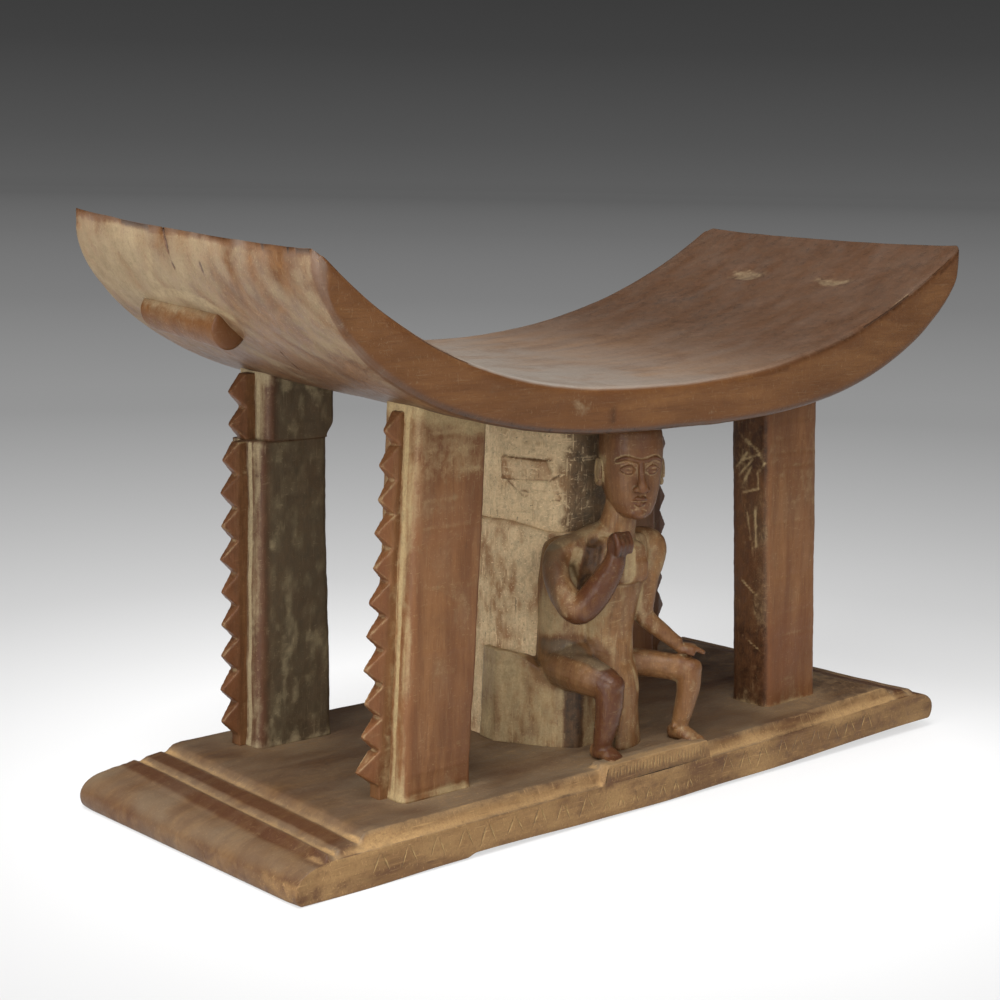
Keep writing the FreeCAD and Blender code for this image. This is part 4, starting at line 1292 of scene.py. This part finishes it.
# A form swept along joints, with a half width and a half depth at each, and rounded ends.
def limb(joints, radii, around=20, steps=7):
    joints = np.array(joints, float)
    radii = np.array([(r, r) if np.isscalar(r) else r for r in radii], float)
    knots = np.arange(len(joints), dtype=float)
    fine = np.linspace(0, knots[-1], steps * (len(joints) - 1) + 1)
    ends = np.vstack([2 * joints[0] - joints[1], joints, 2 * joints[-1] - joints[-2]])
    line = []
    for value in fine:
        index = min(int(value), len(joints) - 2)
        t = value - index
        a, b, c, d = ends[index:index + 4]
        line.append(0.5 * (2 * b + (c - a) * t + (2 * a - 5 * b + 4 * c - d) * t * t
                           + (3 * b - a - 3 * c + d) * t ** 3))
    line = np.array(line)
    sizes = np.stack([np.interp(fine, knots, radii[:, axis]) for axis in (0, 1)], 1)
    ways = np.gradient(line, axis=0)
    ways /= np.linalg.norm(ways, axis=1)[:, None]
    side = np.array([1.0, 0, 0]) if abs(ways[0][0]) < 0.8 else np.array([0, 1.0, 0])
    turns = np.linspace(0, 2 * math.pi, around, endpoint=False)
    rings = []

    def ring(centre, way, size):
        nonlocal side
        side = side - way * (side @ way)
        side /= np.linalg.norm(side)
        up = np.cross(way, side)
        rings.append(centre + np.outer(np.cos(turns) * size[0], side) + np.outer(np.sin(turns) * size[1], up))

    def end(index, sign, angle):
        bulge = sign * ways[index] * sizes[index].min() * limbBlunt * math.sin(angle)
        ring(line[index] + bulge, ways[index], sizes[index] * math.cos(angle))

    for angle in (1.3, 0.9, 0.45):
        end(0, -1, angle)
    for centre, way, size in zip(line, ways, sizes):
        ring(centre, way, size)
    for angle in (0.45, 0.9, 1.3):
        end(-1, 1, angle)
    return skin(np.array(rings))


# A rounded lump: power 2 is an ellipsoid, more is squarer.
def lump(centre, radii, power=2, turn=0, lean=0):
    rings = []
    turns = np.linspace(0, 2 * math.pi, 28, endpoint=False)
    for angle in np.linspace(-1.45, 1.45, 15):
        way = np.stack([np.cos(turns) * math.cos(angle), np.sin(turns) * math.cos(angle), math.sin(angle) + 0 * turns],
                       1)
        rings.append(way / (np.abs(way) ** power).sum(1)[:, None] ** (1 / power))
    points, faces = skin(np.array(rings))
    points = points * np.array(radii)
    for amount, (a, b) in ((lean, (1, 2)), (turn, (0, 1))):
        c, s = math.cos(math.radians(amount)), math.sin(math.radians(amount))
        first, second = points[:, a] * c - points[:, b] * s, points[:, a] * s + points[:, b] * c
        points[:, a], points[:, b] = first, second
    return points + np.array(centre), faces


def fused(name, shapes, voxel):
    piece = newPiece(name, *shapes[0])
    joinShapes(piece, shapes[1:])
    settle(piece, ("REMESH", {"mode": "VOXEL", "voxel_size": voxel * mm, "use_smooth_shade": True}),
           ("SMOOTH", {"factor": 0.5, "iterations": 3}))
    return piece


# Levels of the trunk: height, half width, half depth, and x and y of the middle
torsoLevels = [
    (72, 19, 17, -8, -66), (92, 17.5, 16, -8.5, -66.5), (104, 17, 15.5, -9, -66.5), (118, 18, 16, -9, -67),
    (134, 23, 17.5, -8, -67), (148, 28, 17.5, -7, -66.5), (158, 30, 16.5, -6, -66), (165, 27, 14, -5, -67),
    (169, 19, 10, -4, -69)]


def torsoForm():
    rings = []
    turns = np.linspace(0, 2 * math.pi, 40, endpoint=False)
    levels = np.array(torsoLevels, float)
    way = np.stack([np.cos(turns), np.sin(turns)], 1)
    way /= (np.abs(way) ** 2.5).sum(1)[:, None] ** (1 / 2.5)
    for z in np.linspace(levels[0, 0], levels[-1, 0], 44):
        half, deep, x, y = (np.interp(z, levels[:, 0], levels[:, axis]) for axis in (1, 2, 3, 4))
        rings.append(np.stack([x + way[:, 0] * half, y + way[:, 1] * deep, z + 0 * turns], 1))
    return skin(np.array(rings))


# The throne is a block whose plan is cut on a slant at the front, and whose top rises to the back.
throneCorners = [(-61, -19), (-42, -56), (-31, -66.5), (18, -66), (22, -2), (-58, -2)]
figureSizes = {"foot": 30.6, "front": -111.5, "throneFoot": 30.8, "throneTop": 78, "throneRise": 14, "hollow": 3.0}


def throneForm():
    corners = np.array(throneCorners, float)
    outline = np.concatenate([np.linspace(a, b, 9, endpoint=False) for a, b in zip(corners, np.roll(corners, -1, 0))])
    middle = outline.mean(0)
    rings = []
    for share in np.linspace(0, 1, 16):
        plan = middle + (outline - middle) * (1 - 0.03 * share)
        top = figureSizes["throneTop"] + figureSizes["throneRise"] * ease(plan[:, 1], -58, -24)
        rings.append(np.column_stack([plan, figureSizes["throneFoot"] + share * (top - figureSizes["throneFoot"])]))
    return skin(np.array(rings))


# Fingers or toes side by side. Width runs from the first to the last, and fall shortens each.
def digits(base, tip, width, count, radius, fall):
    base, tip, width = np.array(base, float), np.array(tip, float), np.array(width, float)
    made = []
    for index in range(count):
        shift = width * (index / (count - 1) - 0.5)
        end = tip + shift * 0.9 - (tip - base) * fall[index]
        made.append(limb([base + shift, (base + shift + end) / 2 + (0, 0, 0.8), end],
                         [radius, radius * 0.95, radius * 0.8],
                         10, 4))
    return made


# A deep shaded hollow lies between the right arm and the chest, seen on a slant. Its places are along the
# slant and up.
armHollow = ((29, 163, 0), (26, 148, 0), (21.5, 126, 0))


# Places across and up as the photograph's camera sees them, and their depth towards it.
def slanted(points):
    x, y, z = points.T
    turn = math.radians(cameraSizes["yaw"])
    depth = -x * math.sin(turn) - y * math.cos(turn)
    return np.stack([x * math.cos(turn) - y * math.sin(turn), z, 0 * z], 1), depth


def hollowOf(points):
    flat, depth = slanted(points)
    near = np.maximum(stroke(flat, armHollow[0], armHollow[1], 9), stroke(flat, armHollow[1], armHollow[2], 7))
    return ease(near, 0, 0.8) * (1 - ease(depth, 78, 82)) * ease(depth, 52, 58)


def bodyForms():
    forms = [torsoForm()]
    # The chest is one squared block, undercut below. The left side of the trunk runs into the column.
    forms += [
        lump((-8, -80, 152.5), (15, 10, 13.5), 4.5),
        lump((-1, -86.5, 148.5), (6.5, 5, 8.5), 3.5),
        limb([(-24, -46, 80), (-24, -46.5, 108), (-26, -46.5, 138), (-28, -46, 160)], [20, 19.5, 18, 13.5]),
        limb([(-6, -68, 160), (-6, -71, 172), (-5.5, -74, 186), (-4, -75, 194)], [15, 12, 10.5, 11]),
        limb([(-36, -58, 160), (-18, -64, 166), (-5, -71, 175)], [9.5, 10, 8]),
        # Right arm: a heavy elbow, and a fist held against the chin.
        limb([(-33, -59, 161), (-46, -58.5, 156), (-52.5, -68, 141), (-50.5, -83, 128), (-41, -91, 140.5),
              (-33.5, -95.5, 155), (-31.5, -96.5, 163)], [10, 8.6, 8.6, 9.8, 9.4, 7.2, 6.2]),
        lump((-31, -97, 169), (6.8, 6.2, 7.6), 2.8, 20),
    ]
    for index in range(4):
        x = -36.4 + index * 3.6
        forms.append(limb([(x + 0.6, -101.4, 164), (x - 0.4, -103.2, 170), (x, -99.6, 176.2)], [1.7, 1.95, 1.8], 10, 4))
    forms += [
        limb([(-27.5, -96, 162.5), (-25.2, -99.5, 168), (-27.4, -102.5, 171)], [2.4, 2.4, 1.9], 10, 4),
        # Left arm: broad above the elbow, slender below, with a flat hand on the knee.
        limb([(10, -66, 161), (26.5, -71, 158), (18.5, -75.5, 140), (13.8, -77.5, 121), (13.6, -78, 113)],
             [11, 10.2, 8.2, 6.9, 6.2]),
        limb([(13.8, -78.5, 114), (23.5, -85, 104.5), (33.5, -90.5, 95.6)], [6.4, 5.4, 4.5]),
        lump((38.4, -93.6, 92.4), (7.4, 5.6, 3.2), 2.4, -35, 6),
    ]
    forms += digits((40, -94.4, 92.6), (49, -99.2, 88.8), (-3.2, -9.5, 0.4), 4, 1.75, (0.06, 0, 0.05, 0.16))
    forms += [
        limb([(35, -97, 91.5), (38.5, -100.6, 89.8)], [2.2, 1.8], 10, 4),
        # Legs
        limb([(-25, -36, 84.5), (-34.5, -56, 83.8), (-35.2, -79, 82), (-32.5, -93, 79)], [13, 13.2, 12.4, 10.4]),
        limb([(-32.5, -93.5, 79), (-33.5, -95.5, 66), (-35, -94.5, 52), (-35.7, -92.5, 40), (-35.7, -92, 35)],
             [9.6, 8.6, 7.2, 5.8, 6]),
        lump((-32.4, -98.2, 79.5), (7.6, 5.8, 7)),
        limb([(8, -64, 82), (20, -72, 81.5), (31, -85, 80), (39.5, -94, 78.5)], [9.5, 9, 8.8, 9.2]),
        limb([(39.5, -95, 79), (39.4, -96, 66), (37.4, -94, 52), (36.2, -91.8, 40), (36.2, -91.2, 35)],
             [8.8, 7.6, 6.4, 5.3, 5.6]),
        lump((40, -98.6, 79.4), (7, 5.6, 6.6)),
    ]
    for x, tip, half in ((-34.4, -35.2, 7.2), (36.3, 38.3, 6.8)):
        forms.append(limb([(x, -86.5, 35.5), (x, -92, 37), (x + (tip - x) * 0.6, -99, 35.4), (tip, -103, 33.8)],
                          [(half * 0.74, 5.6), (half * 0.84, 5.6), (half, 4.2), (half * 0.98, 3)]))
        forms += digits((tip, -101, 33.6), (tip - 0.6, -108.6, 32.9), (half * 1.7, 1.4, 0), 5, 1.7,
                        (0.0, 0.02, 0.1, 0.22, 0.4) if x < 0 else (0.4, 0.22, 0.1, 0.02, 0.0))
        side = 1 if x < 0 else -1
        forms.append(lump((x + side * 5.4, -92, 41), (1.9, 2.2, 2.2)))
        forms.append(lump((x - side * 5.2, -92, 40.4), (1.9, 2.2, 2.2)))
    # A cloth hangs between the knees, over a rounded block.
    forms += [
        limb([(-6, -62, 86), (-5, -74, 86), (-1, -80.5, 74), (-0.5, -80.5, 54), (-1.5, -81.5, 32)],
             [(17, 8), (15, 8), (10.5, 5), (11.5, 5), (16, 5.4)], 26),
        throneForm(),
        lump((-28, -59, 92), (13, 14, 10)),
    ]
    return forms


limbNames = ("arm", "hand", "thigh", "shin", "foot")


def makeBody():
    piece = fused("carvedFigure", bodyForms(), 0.92)
    points = placesOf(piece)
    x, y, z = points.T
    heights = 0.42 * roughField(points, (9, 9, 12), 161) + 0.16 * np.abs(field(points, (5, 5, 9), 163)) - 0.05
    heights += 0.1 * roughField(points, (2.4, 2.4, 4), 165, 2)
    throne = ease(y, -66, -60) * (1 - ease(z, 78, 84))
    heights += throne * 0.7 * roughField(points, (12, 12, 16), 167)
    heights -= figureSizes["hollow"] * hollowOf(points)
    knife = np.stack([0.8 * x - 0.6 * y, z + 0.35 * x, 0 * z], 1)
    heights += 0.3 * np.abs(field(knife, (7, 2.6, 1), 169)) * (1 - ease(-z, -84, -60)) * ease(x, -34, -26)
    carve(piece, heights)
    points = placesOf(piece)
    points[:, 2] = np.maximum(points[:, 2], figureSizes["foot"])
    points[:, 1] = np.maximum(points[:, 1], figureSizes["front"])
    putPlaces(piece, points)
    bend = hollowness(piece, 3)
    points = placesOf(piece)
    x, y, z = points.T
    rough = roughField(points, (10, 10, 14), 171)
    streaks = roughField(points, (4, 4, 22), 173)
    normals = normalsOf(piece)
    up = ease(normals[:, 2], 0.2, 0.8)

    def near(*places, width):
        parts = [stroke(points, start, end, width) for start, end in zip(places, places[1:])]
        return ease(np.maximum.reduce(parts), 0, 0.3)

    # The right forearm, knee and shin are rubbed red-brown. Clay lies on the trunk and its throne.
    rubbed = np.maximum(near((-48, -84, 124), (-41, -92, 140), (-31, -98, 176), width=15),
                        near((-34, -84, 80), (-32.5, -96, 79), (-35, -94, 50), (-34, -98, 34), width=14))
    upperArm = near((-52, -60, 158), (-58, -66, 138), (-58, -72, 124), width=11) * (1 - rubbed)
    throne = ease(y, -70, -62) * (1 - ease(z, 78, 84))
    flat, depth = slanted(points)
    strip = ease(flatStroke(flat, 18.5, 160, 14, 128, 5), 0, 0.4) * (1 - ease(depth, 80, 86)) * ease(depth, 50, 56)
    flank = ease(-x, 14, 30) * within(z, 84, 124, 8) * (1 - rubbed)
    leftLimbs = near((20, -76, 82), (40, -94, 78), (36, -94, 36), (38, -104, 33), width=14)
    leftLimbs = np.maximum(leftLimbs, near((24, -72, 150), (14, -78, 114), (34, -91, 95), (48, -98, 90), width=11))
    clay = 0.36 + 0.34 * rough + 0.3 * streaks + 0.9 * np.clip(bend - 0.03, 0, 0.2) + 0.1 * up + 0.35 * throne
    thigh = near((-34, -48, 88), (-33, -88, 84), width=25) * (1 - rubbed) * ease(-x, 14, 24) * ease(z, 64, 72)
    clay += 0.3 * flank - 0.12 * leftLimbs + 0.35 * strip - 0.6 * thigh
    clay += 0.35 * near((2, -86, 84), (4, -86, 70), width=5)
    clay += 0.35 * near((-12, -90, 160), (-12, -91, 142), width=6)
    clay -= 0.62 * rubbed + 0.3 * upperArm
    # Painted shade: the hollow by the right arm, the throne's front beside the right shin and the place under the left
    # elbow are painted dark.
    hollow = hollowOf(points)
    shade = ease(stroke(points, (-34, -66, 78), (-34, -66, 32), 11), 0, 0.7) * ease(-normals[:, 1], 0.3, 0.6)
    under = near((6, -74, 106), (14, -74, 98), width=9)
    clay -= 0.8 * np.clip(hollow + shade, 0, 1) + 0.4 * under
    dark = 0.2 * np.clip(-rough, 0, 1) + 0.5 * upperArm + 1.4 * hollow + 1.2 * shade + 0.7 * under + 0.35 * thigh
    dark += 0.22 * rubbed
    lapEdge = near((-40, -48, 97), (-37, -72, 95), (-34, -90, 89), width=9)
    dark += 0.35 * lapEdge + 0.5 * near((-31, -98, 176), (-31, -98, 164), width=9)
    dark += 1.2 * np.clip(bend - 0.14, 0, 0.5) * (1 - throne)
    worn = rubbed * (1.05 + 0.4 * rough) + np.clip(-bend, 0, 0.5) + 0.08 + 0.3 * np.clip(rough, 0, 1)
    worn += 0.2 * leftLimbs
    haze = (upperArm * (0.2 + 0.4 * streaks) + 0.5 * near((-38, -46, 98), (-37, -72, 95.5), (-34, -88, 90), width=8)
            + 0.2 * throne)
    haze += 0.5 * near((-50, -58, 168), (-20, -62, 174), width=9)
    nodes = ["figure_throne", "figure_lap", "figure_torso", "figure_chest", "figure_neck"]
    nodes += ["figure_%s_%s" % (side, part) for side in ("right", "left") for part in limbNames]
    finishPiece(piece, finishes["figureWood"], nodes, clay, dark, worn, haze)


# Head, in its own frame: chin at 0, crown at 64, face towards -Y
headSizes = {"bottom": 182, "turn": 28, "x": 0, "y": -76}
faceLevels = {"eye": 31.5, "brow": 37.2, "nose": 17.5, "mouth": 11.5, "hair": 50}


# Levels of the head: height, half width, half depth and y of the middle
skullLevels = [(0, 7.5, 10, -9), (3, 11.5, 14, -6.5), (9, 15, 17.5, -3.5), (18, 17.4, 20, -1.5),
               (32, 19.4, 21.4, 0), (44, 19.8, 22.4, 0), (54, 18.6, 21.8, 0.5), (60, 16, 19.5, 1), (64, 13, 16, 1)]


def skullForm():
    rings = []
    turns = np.linspace(0, 2 * math.pi, 44, endpoint=False)
    levels = np.array(skullLevels, float)
    way = np.stack([np.cos(turns), np.sin(turns)], 1)
    way /= (np.abs(way) ** 2.3).sum(1)[:, None] ** (1 / 2.3)
    for z in np.linspace(0, 64, 44):
        half, deep, y = (np.interp(z, levels[:, 0], levels[:, axis]) for axis in (1, 2, 3))
        rings.append(np.stack([way[:, 0] * half, y + way[:, 1] * deep, z + 0 * turns], 1))
    return skin(np.array(rings))


def headForms():
    eye, brow, nose, mouth = (faceLevels[key] for key in ("eye", "brow", "nose", "mouth"))
    forms = [skullForm(), lump((0, -17.4, 3.6), (6.2, 4.4, 4.4))]
    forms += [
        limb([(-15, -16.5, brow - 1), (-9.5, -20.6, brow + 1.6), (-3.5, -22, brow), (0, -22, brow - 0.2),
              (3.5, -22, brow), (9.5, -20.6, brow + 1.6), (15, -16.5, brow - 1)],
             [1.0, 1.4, 1.3, 1.2, 1.3, 1.4, 1.0], 10, 5),
        limb([(0, -21.6, brow - 1), (0, -23.6, 27), (0, -26, 21.5), (0, -26.2, nose + 1)],
             [(2.0, 1.8), (2.4, 2.2), (3.2, 2.6), (3.0, 2.2)], 14, 5),
    ]
    for side in (-1, 1):
        forms.append(lump((side * 3.4, -23.4, nose + 1.6), (2.3, 2.6, 2.1)))
        forms.append(lump((side * 8.2, -19.4, eye), (4.7, 2.6, 2.5), 2, side * 20))
        forms.append(limb([(side * 3.4, -20.9, eye - 0.2), (side * 8, -21.9, eye + 2.5), (side * 12.8, -18.9, eye)],
                          [0.6, 0.95, 0.6], 8, 6))
        forms.append(limb([(side * 3.4, -20.7, eye - 0.4), (side * 8, -21.3, eye - 2.6),
                           (side * 12.8, -18.7, eye - 0.2)],
                          [0.6, 0.8, 0.6], 8, 6))
        ear = side * 19.6
        forms.append(lump((ear, 1, 27.5), (2.2, 4.8, 8)))
        rim = [(ear + side * 1.2, 1 + 4.6 * math.cos(angle), 27.5 + 7.8 * math.sin(angle))
               for angle in np.linspace(-1.9, 3.6, 9)]
        forms.append(limb(rim, [1.2] * 9, 8, 4))
        forms.append(lump((ear + side * 0.6, -1.6, 21), (1.6, 2, 2.4)))
    forms += [
        limb([(-5.8, -18.8, mouth + 0.2), (-2.2, -21.6, mouth + 1.9), (0, -22, mouth + 1.5),
              (2.2, -21.6, mouth + 1.9), (5.8, -18.8, mouth + 0.2)], [0.7, 1.35, 1.3, 1.35, 0.7], 10, 5),
        limb([(-5.4, -18.6, mouth - 0.4), (0, -21.4, mouth - 1.9), (5.4, -18.6, mouth - 0.4)], [0.7, 1.6, 0.7],
             10, 6),
    ]
    return forms


def makeHead():
    piece = fused("carvedHead", headForms(), 0.5)
    points = placesOf(piece)
    x, y, z = points.T
    turn = np.arctan2(x, -y)
    edge = 17 + (faceLevels["hair"] - 17) * ease(np.cos(turn), 0.05, 0.55)
    hair = ease(z, edge - 0.7, edge + 0.7)
    heights = 0.12 * hair + 0.16 * roughField(points, (6, 6, 6), 183) + 0.06 * roughField(points, (1.8, 1.8, 3), 185)
    eye, nose, mouth = (faceLevels[key] for key in ("eye", "nose", "mouth"))
    for side in (-1, 1):
        heights -= 0.5 * stroke(points, (side * 5.6, -19.6, mouth), (0, -23, mouth - 0.1), 0.8)
    for side in (-1, 1):
        heights -= 0.4 * stroke(points, (side * 4, -21.8, eye - 0.3), (side * 12.2, -20, eye - 0.3), 0.6)
        heights -= 0.7 * stroke(points, (side * 2.6, -25.2, nose), (side * 2.6, -24.4, nose - 1), 1.1)
    carve(piece, heights)
    angle = math.radians(-headSizes["turn"])
    points = placesOf(piece)
    turned = points @ np.array([[math.cos(angle), math.sin(angle), 0], [-math.sin(angle), math.cos(angle), 0],
                                [0, 0, 1]])
    putPlaces(piece, turned + (headSizes["x"], headSizes["y"], headSizes["bottom"]))
    bend = hollowness(piece, 2)
    rough = roughField(points, (8, 8, 10), 187)
    ears = ease(np.abs(x), 17.5, 19.5) * within(z, 17, 38, 3)
    clay = 0.18 + 0.26 * rough + 1.3 * np.clip(bend - 0.04, 0, 0.3) + 0.4 * ears
    dark = 0.2 * hair + 0.2 * np.clip(rough, 0, 1) + 0.35 * ease(y, 0, 20)
    worn = 0.5 + 0.3 * rough + np.clip(-bend * 0.6, 0, 0.4)
    finishPiece(piece, finishes["figureWood"], ["figure_head"], clay, dark, worn)


makeBody()
makeHead()
print("figure done")


# Stage: a floor that fades from pale below the stool to dark far behind it

stageSizes = {"reach": 60, "light": 0.6, "nearest": 0.05}
# How bright the floor is at each distance in metres, and the sky at each height
floorLevels = [(0, 1.0), (0.3, 1.0), (0.42, 0.83), (0.65, 0.64), (2.1, 0.31), (5.3, 0.205), (14, 0.15), (44, 0.11)]
skyLevels = [(0, 0.107), (0.02, 0.086), (0.066, 0.053), (0.1, 0.042), (0.4, 0.03)]
skyReach = 0.4


def fillRamp(ramp, stops):
    for index, (where, level) in enumerate(stops):
        stop = ramp.color_ramp.elements[index] if index < 2 else ramp.color_ramp.elements.new(where)
        stop.position = where
        stop.color = (level, level, level, 1)


# The backdrop is what the camera, a reflection or clear glass shows. Other rays meet plain paper.
def seenRays(tree, rays):
    either = mathNode(tree, "MAXIMUM", rays.outputs["Is Camera Ray"], rays.outputs["Is Glossy Ray"])
    return mathNode(tree, "MAXIMUM", either, rays.outputs["Is Transmission Ray"])


def makeFloor():
    mesh = bpy.data.meshes.new("floor")
    reach = stageSizes["reach"]
    mesh.from_pydata([(-reach, -reach, 0), (reach, -reach, 0), (reach, reach, 0), (-reach, reach, 0)], [],
                     [(0, 1, 2, 3)])
    piece = bpy.data.objects.new("floor", mesh)
    bpy.context.scene.collection.objects.link(piece)
    finish = bpy.data.materials.new("floorPaper")
    finish.use_nodes = True
    tree = finish.node_tree
    tree.nodes.clear()
    place = makeNode(tree, "ShaderNodeTexCoord")
    away = makeNode(tree, "ShaderNodeVectorMath", {0: place.outputs["Object"]}, operation="LENGTH")
    nearest = stageSizes["nearest"]
    power = mathNode(tree, "LOGARITHM", mathNode(tree, "MAXIMUM", away.outputs["Value"], nearest), 10.0)
    low, high = math.log10(nearest), math.log10(reach)
    ramp = makeNode(tree, "ShaderNodeValToRGB", {"Fac": rangeNode(tree, power, low, high, way="LINEAR")})
    fillRamp(ramp, [((math.log10(max(distance, nearest)) - low) / (high - low), level)
                    for distance, level in floorLevels])
    rays = makeNode(tree, "ShaderNodeLightPath")
    paper = makeNode(tree, "ShaderNodeBsdfDiffuse", {"Color": ramp.outputs["Color"]})
    plain = makeNode(tree, "ShaderNodeBsdfDiffuse", {"Color": (0.6, 0.6, 0.6, 1)})
    glow = makeNode(tree, "ShaderNodeEmission", {"Color": ramp.outputs["Color"], "Strength": 1.0})
    share = rangeNode(tree, away.outputs["Value"], 0.8, 2.5, stageSizes["light"], 1.0, way="LINEAR")
    blend = makeNode(tree, "ShaderNodeMixShader", {"Fac": share, 1: paper.outputs[0], 2: glow.outputs[0]})
    shown = makeNode(tree, "ShaderNodeMixShader", {"Fac": seenRays(tree, rays), 1: plain.outputs[0],
                                                   2: blend.outputs[0]})
    makeNode(tree, "ShaderNodeOutputMaterial", {"Surface": shown.outputs[0]})
    mesh.materials.append(finish)


def makeWorld():
    world = bpy.data.worlds.new("studio")
    world.use_nodes = True
    tree = world.node_tree
    tree.nodes.clear()
    rays = makeNode(tree, "ShaderNodeLightPath")
    light = makeNode(tree, "ShaderNodeBackground", {"Color": (1, 1, 1, 1), "Strength": 0.5})
    place = makeNode(tree, "ShaderNodeTexCoord")
    height = makeNode(tree, "ShaderNodeSeparateXYZ", {0: place.outputs["Generated"]}).outputs[2]
    ramp = makeNode(tree, "ShaderNodeValToRGB", {"Fac": rangeNode(tree, height, 0, skyReach, way="LINEAR")})
    fillRamp(ramp, [(rise / skyReach, level) for rise, level in skyLevels])
    seen = makeNode(tree, "ShaderNodeBackground", {"Color": ramp.outputs["Color"], "Strength": 1.0})
    shown = makeNode(tree, "ShaderNodeMixShader", {"Fac": seenRays(tree, rays), 1: light.outputs[0],
                                                   2: seen.outputs[0]})
    makeNode(tree, "ShaderNodeOutputWorld", {"Surface": shown.outputs[0]})
    bpy.context.scene.world = world


# Lamps: where each stands and what it points at in metres, its size and its power
lamps = {
    "overhead": {"place": (-0.9, -0.5, 1.9), "aim": (0, 0, 0.2), "size": 1.3, "power": 34},
    "front": {"place": (-0.4, -1.8, 0.9), "aim": (0, 0, 0.15), "size": 1.2, "power": 7},
    "left": {"place": (-1.9, -0.6, 0.5), "aim": (0, 0, 0.2), "size": 1.1, "power": 16},
}


def makeLamps():
    for name, lamp in lamps.items():
        light = bpy.data.lights.new(name, "AREA")
        light.size = lamp["size"]
        light.energy = lamp["power"]
        piece = bpy.data.objects.new(name, light)
        bpy.context.scene.collection.objects.link(piece)
        away = Vector(lamp["place"]) - Vector(lamp["aim"])
        piece.matrix_world = Matrix.Translation(lamp["place"]) @ away.to_track_quat("Z", "Y").to_matrix().to_4x4()


def makeCamera():
    yaw, pitch, roll = (math.radians(cameraSizes[key]) for key in ("yaw", "pitch", "roll"))
    ahead = Vector((math.sin(yaw) * math.cos(pitch), math.cos(yaw) * math.cos(pitch), math.sin(pitch)))
    level = Vector((math.cos(yaw), -math.sin(yaw), 0))
    upright = level.cross(ahead)
    right = level * math.cos(roll) + upright * math.sin(roll)
    up = upright * math.cos(roll) - level * math.sin(roll)
    data = bpy.data.cameras.new("camera")
    data.lens = cameraSizes["lens"]
    data.sensor_width = 36
    data.clip_end = 200
    camera = bpy.data.objects.new("camera", data)
    bpy.context.scene.collection.objects.link(camera)
    turned = Matrix((right, up, -ahead)).transposed().to_4x4()
    camera.matrix_world = Matrix.Translation(cameraSizes["place"]) @ turned
    bpy.context.scene.camera = camera


makeFloor()
makeWorld()
makeLamps()
makeCamera()
bpy.context.scene.view_settings.view_transform = "Standard"
